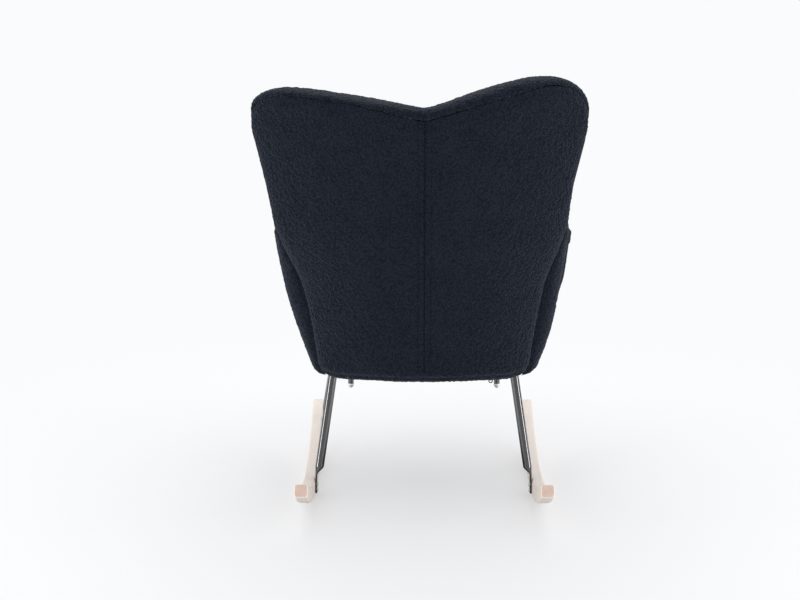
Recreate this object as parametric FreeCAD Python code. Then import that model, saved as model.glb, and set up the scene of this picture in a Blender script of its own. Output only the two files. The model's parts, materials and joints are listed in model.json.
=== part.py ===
import FreeCAD, Part
import math
import os

# Wingback rocking chair, in millimetres: Z up, the front faces -Y, the sitter's left is +X.
# The origin lies on the floor, below the point where the rockers balance.
# Everything above the legs is drawn level in a body frame, then tilted back and lifted.

V = FreeCAD.Vector
X_AXIS = V(1, 0, 0)
Z_AXIS = V(0, 0, 1)

# Rockers
rocker_radius = 957.0
rocker_rest_flat = 120.0
rocker_rear_reach = 412.0
rocker_front_reach = 409.0
rocker_height = 36.0
rocker_end_height = 29.0
rocker_width = 29.0
rocker_gap = 503.0
rocker_edge_ease = 3.0

# Legs
tube_diameter = 20.0
tube_wall = 1.5
foot_thickness = 4.0
foot_width = 30.0
foot_setback = 4.0
foot_above_rocker = 12.0
foot_corner_cut = 8.0
foot_taper_length = 30.0
rear_foot_behind_frame = 44.0
front_foot_inset = 58.0
rear_leg_top_setback = 22.0
front_leg_top_setback = 128.0
leg_top_inset = 15.0
leg_plate_thickness = 4.0
leg_plate_width = 44.0
leg_plate_margin = 20.0
leg_plate_corner_cut = 6.0
plate_bolt_beyond_leg = 36.0
plate_bolt_inside_leg = 40.0

# Stance of the body
seat_base_height = 311.0
body_setback = 10.0
body_tilt = 4.0

# Seat frame
seat_frame_half_width = 222.0
seat_frame_front = 378.0
seat_frame_rear = 42.0
rail_thickness = 22.0
rail_height = 55.0
corner_block_leg = 58.0
corner_block_height = 38.0
dust_cover_thickness = 1.0
dust_cover_rear = 158.0
seat_behind_frame = 6.0
seat_under_back = 20.0

# Seat webbing and deck
webbing_width = 50.0
webbing_thickness = 1.6
seat_fore_bands = 4
seat_cross_bands = 3
deck_thickness = 17.0
border_thickness = 21.0
border_round = 8.0

# Seat cushion
cushion_thickness = 106.0
cushion_overhang = 30.0
cushion_front_radius = 46.0
cushion_rear_radius = 20.0
cushion_side_draw = 4.0
cushion_over_frame = 10.0
cushion_least_front_radius = 8.0
cushion_least_rear_radius = 6.0

# Back shell
back_beyond_frame = 28.0
back_flare = 0.21
back_lean = 12.0
back_half_arc = 43.1
back_rear_reach = 195.5
notch_height = 634.0
lobe_rise = 50.0
lobe_place = 0.72
wing_corner_drop = 62.0
back_rim_height = 24.0
outside_back_depth = 20.0
back_bottom_roll = 28.0
back_corner_lift = 12.0
back_corner_start = 0.86
wing_edge_roll = 13.0
wing_edge_roll_start = 0.88
wing_wrap_margin = 0.01
wing_wrap_turn = 0.015
back_seam_tuck = 3.0
back_seam_roll = 11.0
back_frame_depth = 25.0
back_pad_bottom = 82.0
back_pad_middle = 114.0
back_pad_top = 78.0
wing_pad_ratio = 0.62
channel_depth = 11.0
channel_half_width = 0.12
channel_place = 0.50

# Back frame
bottom_rail_base = 6.0
bottom_rail_height = 40.0
middle_rail_base = 262.0
middle_rail_height = 36.0
top_rail_base = 548.0
top_rail_height = 40.0
top_rail_span = 0.90
post_place = 0.54
post_span = 0.07
post_setback = 1.0
wing_board_end = 0.94
wing_board_thickness = 10.0
wing_board_margin = 12.0
back_upper_bands = 2

# Arms
arm_base_width = 19.0
arm_base_lean = 18.3
arm_bow_radius = 1925.0
arm_beside_frame = 6.0
arm_inner_flare = 0.10
arm_beyond_frame = 19.0
arm_front_height = 292.0
arm_rear_height = 362.0
arm_front_lean = 0.10
arm_crown = 30.0
arm_front_roll = 26.0
arm_front_drop = 34.0
arm_nose_step = 6.0
arm_front_outer_inset = 11.0
arm_front_inner_inset = 5.0
arm_rear_outer_inset = 28.0
arm_board_thickness = 11.0
arm_board_lean = 10.0
arm_board_setback = 26.0
arm_board_rear = 52.0
arm_board_base = 7.0
arm_board_cover = 62.0

# Side pocket on the sitter's right arm
pocket_front = -240.0
pocket_rear = 8.0
pocket_bottom = 112.0
pocket_top = 296.0
pocket_gap = 15.0
pocket_cloth = 2.5
pocket_edge_lift = 0.6

# Fasteners
foot_screw = 5.0
foot_screw_length = 22.0
foot_screw_first = 8.0
foot_screw_pitch = 12.5
plate_bolt = 8.0
plate_bolt_length = 46.0
arm_bolt = 6.0
arm_bolt_length = 38.0
arm_bolt_height = 28.0
arm_bolt_front_y = -262.0
arm_bolt_rear_y = -66.0
bracket_inset = 56.0
bracket_width = 28.0
bracket_thickness = 4.0
bracket_margin = 18.0
bracket_corner_cut = 8.0
clamp_bolt = 8.0
clamp_bolt_grip = 34.0
clamp_hole_spare = 6.0
clamp_sleeve_diameter = 13.0
clamp_sleeve_length = 17.0
cap_nut_length = 11.0
hook_wire = 2.4
hook_drop = 16.0
hook_bend = 4.0
hook_clearance = 3.5

# Fits
bolt_side_count = 8
bolt_clearance = 0.2
hole_overrun = 1.0
soft_gap = 0.4
bend_slack = 0.8

body_frame = FreeCAD.Placement(V(0, body_setback, seat_base_height),
                               FreeCAD.Rotation(X_AXIS, -body_tilt))
rear_foot_y = seat_frame_rear + rear_foot_behind_frame
front_foot_y = front_foot_inset - seat_frame_front
rear_leg_top_y = seat_frame_rear - rear_leg_top_setback
front_leg_top_y = front_leg_top_setback - seat_frame_front
arm_front_reach = seat_frame_front + arm_beyond_frame
arm_inner_half_width = seat_frame_half_width + arm_beside_frame
arm_base_half_width = arm_inner_half_width + arm_base_width
back_base_half_width = seat_frame_half_width + back_beyond_frame
bracket_x = seat_frame_half_width - bracket_inset
arm_board_front = seat_frame_front - arm_board_setback
rocker_inner = rocker_gap / 2.0
tube_radius = tube_diameter / 2.0
leg_top_x = seat_frame_half_width - leg_top_inset
side_rail_middle = seat_frame_half_width - rail_thickness / 2.0
leg_plate_top = -dust_cover_thickness
leg_plate_base = leg_plate_top - leg_plate_thickness
bracket_base = leg_plate_top - bracket_thickness
deck_base = rail_height + 2.0 * webbing_thickness
deck_top = deck_base + deck_thickness
cushion_base = deck_top + soft_gap
cushion_front = -(seat_frame_front + soft_gap + border_thickness + cushion_overhang)
seat_rear_middle = back_rear_reach - back_pad_middle + seat_under_back
seat_rear_side = seat_frame_rear + seat_behind_frame
half_arc = math.radians(back_half_arc)
post_end = post_place + post_span
wing_wrap_start = wing_board_end + wing_wrap_margin
wing_wrap_end = wing_wrap_start + wing_wrap_turn
frame_outer_depth = outside_back_depth + soft_gap
frame_inner_depth = frame_outer_depth + back_frame_depth
pad_rear_depth = frame_inner_depth + soft_gap


# Plain helpers

def line(a, b):
    return Part.LineSegment(a, b).toShape()


def arc(a, b, c):
    return Part.Arc(a, b, c).toShape()


def ring(points):
    return Part.makePolygon(points + [points[0]])


def polygon_face(points):
    return Part.Face(ring(points))


def box(x0, x1, y0, y1, z0, z1):
    return Part.makeBox(x1 - x0, y1 - y0, z1 - z0, V(x0, y0, z0))


def cylinder(diameter, base, direction, length):
    return Part.makeCylinder(diameter / 2.0, length, base, direction)


def mirrored(shape):
    return shape.mirror(V(0, 0, 0), X_AXIS)


def skin(sections):
    # A solid through closed outlines that all have the same number of corners
    return Part.makeLoft([ring(points) for points in sections], True, True)


def flat_faced(low, high):
    # A solid between two closed outlines, with each side folded along a diagonal so it stays flat
    faces = [polygon_face(low), polygon_face(high)]
    for i in range(len(low)):
        j = (i + 1) % len(low)
        faces += [polygon_face([low[i], low[j], high[i]]), polygon_face([low[j], high[j], high[i]])]
    return Part.Solid(Part.Shell(faces))


def upright_edges(shape):
    return [e for e in shape.Edges if abs(e.tangentAt(e.FirstParameter).z) > 0.99]


def seated(shape):
    placed = shape.copy()
    placed.Placement = body_frame.multiply(placed.Placement)
    return placed


def prism(sides, across_flats, base, direction, length):
    corner = across_flats / 2.0 / math.cos(math.pi / sides)
    turns = [2.0 * math.pi * i / sides for i in range(sides)]
    points = [V(corner * math.cos(t), corner * math.sin(t), 0) for t in turns]
    bar = polygon_face(points).extrude(V(0, 0, length))
    bar.Placement = FreeCAD.Placement(base, FreeCAD.Rotation(Z_AXIS, direction))
    return bar


def bolt(seat_point, direction, diameter, length, head_sides):
    # seat_point is the middle of the face under the head; small shanks and holes have flats
    head = prism(head_sides, 1.8 * diameter, seat_point, direction * -1.0, 0.6 * diameter)
    return head.fuse(prism(bolt_side_count, diameter, seat_point, direction, length))


def bolt_hole(start, direction, diameter, length):
    return prism(bolt_side_count, diameter + 2.0 * bolt_clearance, start, direction, length)


# Rockers

def rocker_arc(y):
    return rocker_radius - math.sqrt(rocker_radius ** 2 - y ** 2)


def rocker_underside(y):
    # Height above the floor: an arc, planed flat in the middle so that the empty chair stands still
    return max(0.0, rocker_arc(y) - rocker_arc(rocker_rest_flat / 2.0))


def rocker_end(reach):
    turn = math.asin(reach / rocker_radius)
    low = V(0, reach, rocker_underside(reach))
    high = low + V(0, -math.sin(turn), math.cos(turn)) * rocker_end_height
    return low, high


def make_left_rocker():
    rear_low, rear_high = rocker_end(rocker_rear_reach)
    front_low, front_high = rocker_end(-rocker_front_reach)
    half_flat = rocker_rest_flat / 2.0

    def lower_arc(start, end):
        middle = (start + end) / 2.0
        return arc(V(0, start, rocker_underside(start)), V(0, middle, rocker_underside(middle)),
                   V(0, end, rocker_underside(end)))

    outline = Part.Wire([
        lower_arc(rocker_rear_reach, half_flat),
        line(V(0, half_flat, 0), V(0, -half_flat, 0)),
        lower_arc(-half_flat, -rocker_front_reach),
        line(front_low, front_high),
        arc(front_high, V(0, 0, rocker_height), rear_high),
        line(rear_high, rear_low),
    ])
    outline.translate(V(rocker_inner, 0, 0))
    bar = Part.Face(outline).extrude(V(rocker_width, 0, 0))
    flats = [f for f in bar.Faces if abs(f.normalAt(0, 0).x) > 0.99]
    bar = bar.makeChamfer(rocker_edge_ease, [e for f in flats for e in f.Edges])
    for point in foot_screw_points():
        bar = bar.cut(bolt_hole(point, X_AXIS, foot_screw, foot_screw_length - foot_thickness + hole_overrun))
    return bar


# Legs

def leg_line(foot_y, top_y):
    # Foot point, upward direction and length of a leg, seen from the side
    foot = V(0, foot_y, rocker_underside(foot_y) + foot_setback)
    top = body_frame.multVec(V(leg_top_x, top_y, leg_plate_base))
    rise = V(0, top.y - foot.y, top.z - foot.z)
    return foot, rise.normalize(), math.hypot(top.y - foot.y, top.z - foot.z)


def leg_lines():
    return [leg_line(front_foot_y, front_leg_top_y), leg_line(rear_foot_y, rear_leg_top_y)]


def foot_screw_points():
    # Points on the rocker's inner face, two for each foot
    points = []
    for foot, rise, length in leg_lines():
        for k in range(2):
            along = foot + rise * (foot_screw_first + k * foot_screw_pitch)
            points.append(along + V(rocker_inner, 0, 0))
    return points


def foot_length():
    return rocker_height - foot_setback + foot_above_rocker


def make_foot():
    half = foot_width / 2.0
    top = foot_length()
    cut = foot_corner_cut
    x = rocker_inner - foot_thickness
    points = [V(x, -half, top), V(x, -half, cut), V(x, cut - half, 0), V(x, half - cut, 0),
              V(x, half, cut), V(x, half, top)]
    return polygon_face(points).extrude(V(foot_thickness, 0, 0))


def make_leg(foot, rise, length):
    # Drawn upright over the rocker's inner face, then leaned and carried to its place
    knee = V(rocker_inner - tube_radius, 0, foot_length() + foot_taper_length)
    top = V(leg_top_x, 0, length)
    axis = (top - knee).normalize()
    side = V(axis.z, 0, -axis.x)
    along = V(0, 1, 0)

    half = foot_width / 2.0
    thick = foot_thickness / 2.0
    blade = []
    round_end = []
    for i in range(8):
        t = math.radians(45.0 * i + 22.5)
        c = math.cos(t)
        n = math.sin(t)
        most = max(abs(c), abs(n))
        blade.append(V(rocker_inner - thick + thick * c / most, half * n / most, foot_length()))
        round_end.append(knee + side * (tube_radius * c) + along * (tube_radius * n))
    taper = flat_faced(blade, round_end)
    tube = cylinder(tube_diameter, knee, axis, (top - knee).Length + 2.0 * tube_diameter)
    bore = prism(12, tube_diameter - 2.0 * tube_wall, knee + axis * tube_radius, axis, 3.0 * length)
    leg = make_foot().fuse(taper).fuse(tube).removeSplitter().cut(bore)
    lean = math.degrees(math.atan2(rise.y, rise.z))
    leg.Placement = FreeCAD.Placement(V(0, foot.y, foot.z), FreeCAD.Rotation(X_AXIS, -lean))
    reach = 4.0 * seat_base_height
    leg = leg.cut(seated(box(-reach, reach, -reach, reach, leg_plate_base, reach)))
    for point in foot_screw_points():
        leg = leg.cut(bolt_hole(point - X_AXIS * (2.0 * foot_thickness), X_AXIS, foot_screw,
                                4.0 * foot_thickness))
    return leg


def plate_bolt_points():
    front = front_leg_top_y
    rear = rear_leg_top_y
    places = (front - plate_bolt_beyond_leg, front + plate_bolt_inside_leg, (front + rear) / 2.0,
              rear - plate_bolt_inside_leg)
    return [V(side_rail_middle, y, leg_plate_base) for y in places]


def make_left_leg_plate():
    half = leg_plate_width / 2.0
    front = front_leg_top_y - plate_bolt_beyond_leg - leg_plate_margin
    rear = rear_leg_top_y + leg_plate_margin
    plate = box(side_rail_middle - half, side_rail_middle + half, front, rear,
                leg_plate_base, leg_plate_top)
    plate = plate.makeChamfer(leg_plate_corner_cut, upright_edges(plate))
    return drilled(plate, plate_bolt_points(), plate_bolt, plate_bolt_length)


def drilled(shape, points, diameter, length):
    for point in points:
        shape = shape.cut(bolt_hole(point, Z_AXIS, diameter, length + hole_overrun))
    return shape


# Seat frame

def seat_bolt_points():
    left = plate_bolt_points()
    return left + [V(-p.x, p.y, p.z) for p in left]


def bracket_bolt_points():
    y = seat_frame_rear - rail_thickness / 2.0
    return [V(s * bracket_x, y, bracket_base) for s in (1, -1)]


def arm_bolt_points():
    x = seat_frame_half_width - rail_thickness
    return [V(x, y, arm_bolt_height) for y in (arm_bolt_front_y, arm_bolt_rear_y)]


def make_left_seat_rail():
    rail = box(seat_frame_half_width - rail_thickness, seat_frame_half_width,
               -seat_frame_front + rail_thickness, seat_frame_rear, 0, rail_height)
    rail = drilled(rail, plate_bolt_points(), plate_bolt, plate_bolt_length)
    for point in arm_bolt_points():
        rail = rail.cut(bolt_hole(point, X_AXIS, arm_bolt, rail_thickness))
    return rail


def make_seat_front_rail():
    return box(-seat_frame_half_width, seat_frame_half_width,
               -seat_frame_front, -seat_frame_front + rail_thickness, 0, rail_height)


def make_seat_rear_rail():
    half = seat_frame_half_width - rail_thickness
    rail = box(-half, half, seat_frame_rear - rail_thickness, seat_frame_rear, 0, rail_height)
    return drilled(rail, bracket_bolt_points(), plate_bolt, plate_bolt_length)


def make_corner_blocks():
    half = seat_frame_half_width - rail_thickness
    leg = corner_block_leg
    base = (rail_height - corner_block_height) / 2.0
    blocks = []
    for sx in (1, -1):
        for y, sy in ((-seat_frame_front + rail_thickness, 1), (seat_frame_rear - rail_thickness, -1)):
            corner = V(sx * half, y, base)
            face = polygon_face([corner, corner - V(sx * leg, 0, 0), corner + V(0, sy * leg, 0)])
            blocks.append(face.extrude(V(0, 0, corner_block_height)))
    return Part.Compound(blocks)


# Webbing, deck and border

def band_places(low, high, count):
    step = (high - low) / count
    return [low + step * (i + 0.5) for i in range(count)]


def make_seat_webbing():
    # Bands from front to rear rail, and bands from side to side laid over them
    half = seat_frame_half_width
    low = rail_height
    mid = low + webbing_thickness
    high = mid + webbing_thickness
    w = webbing_width / 2.0
    inner = half - rail_thickness
    bands = [box(x - w, x + w, -seat_frame_front, seat_frame_rear, low, mid)
             for x in band_places(-inner, inner, seat_fore_bands)]
    inner_front = -seat_frame_front + rail_thickness
    inner_rear = seat_frame_rear - rail_thickness
    bands += [box(-half, half, y - w, y + w, mid, high)
              for y in band_places(inner_front, inner_rear, seat_cross_bands)]
    return Part.Compound(bands)


def make_seat_deck():
    half = seat_frame_half_width
    front = -seat_frame_front + soft_gap
    outline = Part.Wire([
        line(V(-half, seat_rear_side, deck_base), V(-half, front, deck_base)),
        line(V(-half, front, deck_base), V(half, front, deck_base)),
        line(V(half, front, deck_base), V(half, seat_rear_side, deck_base)),
        arc(V(half, seat_rear_side, deck_base), V(0, seat_rear_middle, deck_base),
            V(-half, seat_rear_side, deck_base)),
    ])
    return Part.Face(outline).extrude(V(0, 0, deck_thickness))


def make_front_border():
    front = -(seat_frame_front + soft_gap + border_thickness)
    pad = box(-seat_frame_half_width, seat_frame_half_width, front,
              -(seat_frame_front + soft_gap), soft_gap, deck_top)
    rounded = [e for e in pad.Edges if e.CenterOfMass.y < front + 1.0]
    return pad.makeFillet(border_round, rounded)


def make_dust_cover():
    half = seat_frame_half_width
    rear_side = seat_frame_rear + rail_thickness
    z = -dust_cover_thickness
    outline = Part.Wire([
        line(V(-half, rear_side, z), V(-half, -seat_frame_front, z)),
        line(V(-half, -seat_frame_front, z), V(half, -seat_frame_front, z)),
        line(V(half, -seat_frame_front, z), V(half, rear_side, z)),
        arc(V(half, rear_side, z), V(0, dust_cover_rear, z), V(-half, rear_side, z)),
    ])
    cover = Part.Face(outline).extrude(V(0, 0, dust_cover_thickness))
    cover = drilled(cover, seat_bolt_points(), plate_bolt, plate_bolt_length)
    cover = drilled(cover, bracket_bolt_points(), plate_bolt, plate_bolt_length)
    return drilled(cover, clamp_points(), clamp_bolt, clamp_bolt_grip)


# Seat cushion

def corner_points(centre_x, centre_y, radius, start):
    turns = [math.radians(start + 22.5 * i) for i in range(5)]
    return [(centre_x + radius * math.cos(t), centre_y + radius * math.sin(t)) for t in turns]


def cushion_level(z, inset):
    # The cushion's outline at one height: sides drawn in a little, rear edge bowed with the back
    half = seat_frame_half_width + cushion_over_frame - inset
    front = cushion_front + inset
    rear = seat_rear_side - inset
    rf = max(cushion_front_radius - 0.5 * inset, cushion_least_front_radius)
    rr = max(cushion_rear_radius - 0.5 * inset, cushion_least_rear_radius)
    bow = seat_rear_middle - seat_rear_side
    left = corner_points(half - rf, front + rf, rf, -90.0)
    for t in (0.33, 0.67):
        y = front + rf + t * (rear - rr - front - rf)
        left.append((half - cushion_side_draw * 4.0 * t * (1.0 - t), y))
    left += corner_points(half - rr, rear - rr, rr, 0.0)
    left += [(t * half, rear + bow * (1.0 - t * t)) for t in (0.67, 0.33)]
    left.append((0.0, rear + bow))
    right = [(-x, y) for x, y in reversed(left[:-1])]
    return [V(x, y, z) for x, y in left + right]


def make_seat_cushion():
    # Shares of the thickness, and how far the outline is drawn in there: rolled edges and a crown
    levels = ((0.0, 11.0), (0.03, 4.0), (0.12, 0.0), (0.70, 0.0), (0.81, 4.0), (0.89, 14.0),
              (0.96, 48.0), (1.0, 120.0))
    return skin([cushion_level(cushion_base + t * cushion_thickness, inset) for t, inset in levels])


# Back shell

def back_half_width(z):
    return back_base_half_width + back_flare * z


def back_radius(z):
    return back_half_width(z) / math.sin(half_arc)


def back_rear(z):
    return back_rear_reach + z * math.tan(math.radians(back_lean))


def back_point(u, z, depth):
    # u runs from one wing edge (-1) to the other (+1); depth is measured in from the outer face
    turn = u * half_arc
    r = back_radius(z) - depth
    return V(r * math.sin(turn), back_rear(z) - back_radius(z) + r * math.cos(turn), z)


def crest(u):
    # Height of the top edge: a notch in the middle, a lobe on each side, rounded wing corners
    a = abs(u)
    if a <= lobe_place:
        t = a / lobe_place
        return notch_height + lobe_rise * t * (1.5 - 0.5 * t * t)
    v = (a - lobe_place) / (1.0 - lobe_place)
    return notch_height + lobe_rise - wing_corner_drop * v ** 2.6


def wing_taper(u):
    # Thickness of the padding towards the wing edges, as a share of the middle
    a = abs(u)
    if a <= channel_place:
        return 1.0
    v = (a - channel_place) / (1.0 - channel_place)
    return 1.0 - (1.0 - wing_pad_ratio) * v * v * (3.0 - 2.0 * v)


def channel(u):
    # Sewn channels draw the padding in at the middle and where each wing begins
    near = min(abs(abs(u) - place) for place in (0.0, channel_place))
    return channel_depth * max(0.0, 1.0 - near / channel_half_width)


def edge_ease(u):
    # The outer face rolls in at the wing edge
    v = max(0.0, (abs(u) - wing_edge_roll_start) / (1.0 - wing_edge_roll_start))
    return wing_edge_roll * v ** 2.5


def back_stations():
    half = [i / 12.0 for i in range(12)] + [wing_wrap_start, wing_wrap_end, 1.0]
    return [-u for u in reversed(half[1:])] + half


def bottom_edge(u):
    # The lower corners are rounded off
    v = max(0.0, (abs(u) - back_corner_start) / (1.0 - back_corner_start))
    return soft_gap + back_corner_lift * v ** 2.0


def pad_rear(u):
    # The pad lies on the frame, and past the frame's end it turns back to meet the outside back
    return pad_rear_depth if abs(u) <= wing_wrap_start else frame_outer_depth


def inside_back_section(u):
    rear = pad_rear(u)
    taper = wing_taper(u)
    dip = channel(u)
    ease = edge_ease(u)
    top = crest(u)
    lip = top - back_rim_height
    bottom = bottom_edge(u)
    inner_bottom = pad_rear_depth + (back_pad_bottom - pad_rear_depth) * taper - 0.4 * dip - 0.5 * ease
    inner_middle = back_pad_middle * taper - dip - ease
    inner_top = back_pad_top * taper - 0.6 * dip - ease

    def thickness(t):
        # The pad is thickest at the small of the back
        m = 0.42
        return (inner_bottom * (t - m) * (t - 1.0) / m + inner_top * t * (t - m) / (1.0 - m)
                - inner_middle * t * (t - 1.0) / (m * (1.0 - m)))

    points = [(rear, bottom), (rear, lip), (ease, lip)]
    for degrees in (22, 52, 90, 128, 158):
        t = math.radians(degrees)
        points.append((ease + (inner_top - ease) * 0.5 * (1.0 - math.cos(t)),
                       lip + back_rim_height * math.sin(t) ** 0.75))
    points += [(thickness(t), bottom + t * (lip - bottom)) for t in (1.0, 0.8, 0.6, 0.42, 0.22, 0.0)]
    return [back_point(u, z, depth) for depth, z in points]


def make_inside_back():
    return skin([inside_back_section(u) for u in back_stations()])


def outside_back_section(u):
    # A thin panel with a rolled lower edge, ending at the seam below the rim
    ease = edge_ease(u)
    top = crest(u) - back_rim_height - soft_gap
    bottom = bottom_edge(u)
    depth = outside_back_depth
    rolled = ((0.0, 1.0), (0.07, 0.42), (0.27, 0.12), (0.55, 0.0))
    points = [(depth, bottom), (depth, top), (ease + back_seam_tuck, top)]
    points.append((ease + 0.27 * back_seam_tuck, top - 0.36 * back_seam_roll))
    points.append((ease, top - back_seam_roll))
    points += [(ease + a * (depth - ease), bottom + b * back_bottom_roll) for a, b in rolled]
    return [back_point(u, z, d) for d, z in points]


def make_outside_back():
    return skin([outside_back_section(u) for u in back_stations()])


# Back frame

def band_piece(u0, u1, z0, z1, depth0, depth1):
    # A strip bent round the shell
    places = [u0 + (u1 - u0) * i / 14.0 for i in range(15)]
    return skin([[back_point(u, z, depth0) for u in places]
                 + [back_point(u, z, depth1) for u in reversed(places)] for z in (z0, z1)])


def rail_piece(span, base, height):
    return band_piece(-span, span, base, base + height, frame_outer_depth, frame_inner_depth - bend_slack)


def board_piece(u0, u1, z0, z1, depth0, depth1):
    # A straight board between two lines of the shell
    return skin([[back_point(u0, z, depth0), back_point(u1, z, depth0), back_point(u1, z, depth1),
                  back_point(u0, z, depth1)] for z in (z0, z1)])


def make_bottom_rail():
    rail = rail_piece(wing_board_end, bottom_rail_base, bottom_rail_height)
    return drilled(rail, clamp_points(), clamp_bolt, clamp_bolt_grip + clamp_hole_spare)


def make_middle_rail():
    return rail_piece(post_place, middle_rail_base, middle_rail_height)


def make_top_rail():
    return rail_piece(top_rail_span, top_rail_base, top_rail_height)


def make_left_post():
    return board_piece(post_place, post_end, bottom_rail_base + bottom_rail_height, top_rail_base,
                       frame_outer_depth + post_setback, frame_inner_depth)


def make_left_wing_board():
    depth = (frame_outer_depth + frame_inner_depth - wing_board_thickness) / 2.0
    return board_piece(post_end, wing_board_end,
                       bottom_rail_base + bottom_rail_height + wing_board_margin,
                       top_rail_base - wing_board_margin, depth, depth + wing_board_thickness)


def make_webbing():
    low = bottom_rail_base + bottom_rail_height
    middle_top = middle_rail_base + middle_rail_height
    places = band_places(low, middle_rail_base, 1)
    places += band_places(middle_top, top_rail_base, back_upper_bands)
    depth = frame_inner_depth - 2.0 * webbing_thickness
    bands = [band_piece(-post_place, post_place, z - webbing_width / 2.0, z + webbing_width / 2.0,
                         depth, depth + webbing_thickness) for z in places]
    return Part.Compound(bands)


# Brackets and clamp bolts between the back and the seat

def clamp_points():
    depth = (frame_outer_depth + frame_inner_depth) / 2.0
    z = bottom_rail_base + bottom_rail_height / 2.0
    turn = math.asin(bracket_x / (back_radius(z) - depth))
    y = back_point(turn / half_arc, z, depth).y
    return [V(s * bracket_x, y, bracket_base) for s in (1, -1)]


def make_left_bracket():
    clamp = clamp_points()[0]
    seat_end = bracket_bolt_points()[0]
    half = bracket_width / 2.0
    bar = box(bracket_x - half, bracket_x + half, seat_end.y - bracket_margin, clamp.y + bracket_margin,
              bracket_base, -dust_cover_thickness)
    bar = bar.makeChamfer(bracket_corner_cut, upright_edges(bar))
    return drilled(bar, [clamp, seat_end], clamp_bolt, clamp_bolt_grip)


def make_clamp_bolts():
    low = clamp_sleeve_length + 0.5 * cap_nut_length
    return Part.Compound([prism(bolt_side_count, clamp_bolt, p - Z_AXIS * low, Z_AXIS,
                                low + clamp_bolt_grip)
                          for p in clamp_points()])


def make_clamp_sleeves():
    sleeves = []
    for point in clamp_points():
        base = point - Z_AXIS * clamp_sleeve_length
        sleeve = prism(16, clamp_sleeve_diameter, base, Z_AXIS, clamp_sleeve_length)
        sleeves.append(sleeve.cut(bolt_hole(base, Z_AXIS, clamp_bolt, clamp_sleeve_length)))
    return Part.Compound(sleeves)


def make_cap_nuts():
    nuts = []
    hexagon = 0.55 * cap_nut_length
    for point in clamp_points():
        top = point - Z_AXIS * clamp_sleeve_length
        nut = prism(6, clamp_sleeve_diameter, top - Z_AXIS * hexagon, Z_AXIS, hexagon)
        dome = prism(12, 0.8 * clamp_sleeve_diameter, top - Z_AXIS * cap_nut_length, Z_AXIS,
                     cap_nut_length - hexagon)
        bore = bolt_hole(top - Z_AXIS * (0.5 * cap_nut_length + bolt_clearance), Z_AXIS, clamp_bolt,
                         cap_nut_length)
        nuts.append(nut.fuse(dome).cut(bore))
    return Part.Compound(nuts)


def make_tie_hook():
    # A J of wire below the bracket on the sitter's right, beside the clamp sleeve
    start = clamp_points()[1] + V(clamp_sleeve_diameter / 2.0 + hook_clearance, 0, 0)
    low = start - Z_AXIS * (hook_drop - hook_bend)
    tip = low + V(2.0 * hook_bend, 0, 0)
    bend = [low + V(hook_bend * (1.0 - math.cos(math.radians(a))), 0,
                    -hook_bend * math.sin(math.radians(a))) for a in (45, 90, 135)]
    path = Part.makePolygon([start, low] + bend + [tip, tip + Z_AXIS * (1.5 * hook_bend)])
    corners = [V(math.cos(math.radians(60 * i)), math.sin(math.radians(60 * i)), 0) for i in range(6)]
    section = ring([start + c * (hook_wire / 2.0) for c in corners])
    return path.makePipeShell([section], True, False, 1)


# Arms

def arm_outer(z):
    lean = math.radians(arm_base_lean)
    centre_z = arm_bow_radius * math.sin(lean)
    centre_x = arm_base_half_width - arm_bow_radius * math.cos(lean)
    return centre_x + math.sqrt(arm_bow_radius ** 2 - (z - centre_z) ** 2)


def arm_inner(z):
    return arm_inner_half_width + arm_inner_flare * z


def arm_stations():
    # Place, backward lean, top height, outer inset and inner inset of each section
    front = -arm_front_reach
    edge = back_point(1.0, 0.0, 0.0)
    lean = back_point(1.0, 1.0, 0.0).y - edge.y
    rise = arm_rear_height - arm_front_height

    def top(t):
        return arm_front_height + rise * (0.45 * t + 0.55 * t * t)

    return (
        (front, arm_front_lean, top(0.0) - arm_front_drop, arm_front_outer_inset, arm_front_inner_inset),
        (front + arm_nose_step, arm_front_lean, top(0.0) - 2.0 * arm_nose_step,
         0.36 * arm_front_outer_inset, 0.4 * arm_front_inner_inset),
        (front + arm_front_roll, arm_front_lean, top(0.0), 0.0, 0.0),
        (0.45 * front, 0.8 * arm_front_lean, top(0.42), 0.0, 0.0),
        (0.0, lean, top(0.8), 0.0, 0.0),
        (0.70 * edge.y, lean, top(0.98), 0.1 * arm_rear_outer_inset, 0.0),
        (1.20 * edge.y, lean, top(1.0), arm_rear_outer_inset, 0.0),
    )


def arm_section(y, lean, top, outer_inset, inner_inset):
    base = soft_gap
    shoulder = top - arm_crown
    outer = [(arm_outer(t * shoulder + (1.0 - t) * base) - outer_inset, t * shoulder + (1.0 - t) * base)
             for t in (0.0, 0.25, 0.5, 0.75, 1.0)]
    inner_x = arm_inner(shoulder) + inner_inset
    middle_x = (outer[-1][0] + inner_x) / 2.0
    half = (outer[-1][0] - inner_x) / 2.0
    crown = [(middle_x + half * math.cos(math.radians(a)), shoulder + arm_crown * math.sin(math.radians(a)))
             for a in (30, 60, 90, 120, 150)]
    inner = [(inner_x, shoulder), (arm_inner(base) + inner_inset, base)]
    return [V(x, y + lean * z, z) for x, z in outer + crown + inner]


def back_side_cutter():
    # Everything on the back's side of the wing edge plane
    edge = back_point(1.0, 0.0, 0.0)
    up = (back_point(1.0, notch_height, 0.0) - edge).normalize()
    inward = V(-math.sin(half_arc), -math.cos(half_arc), 0)
    across = V(math.cos(half_arc), -math.sin(half_arc), 0)
    centre = edge + across * (2.0 * soft_gap)
    reach = 2.0 * notch_height
    corners = [centre + up * (a * reach) + inward * (b * reach)
               for a, b in ((-1, -1), (1, -1), (1, 1), (-1, 1))]
    return polygon_face(corners).extrude(across * -reach)


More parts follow.
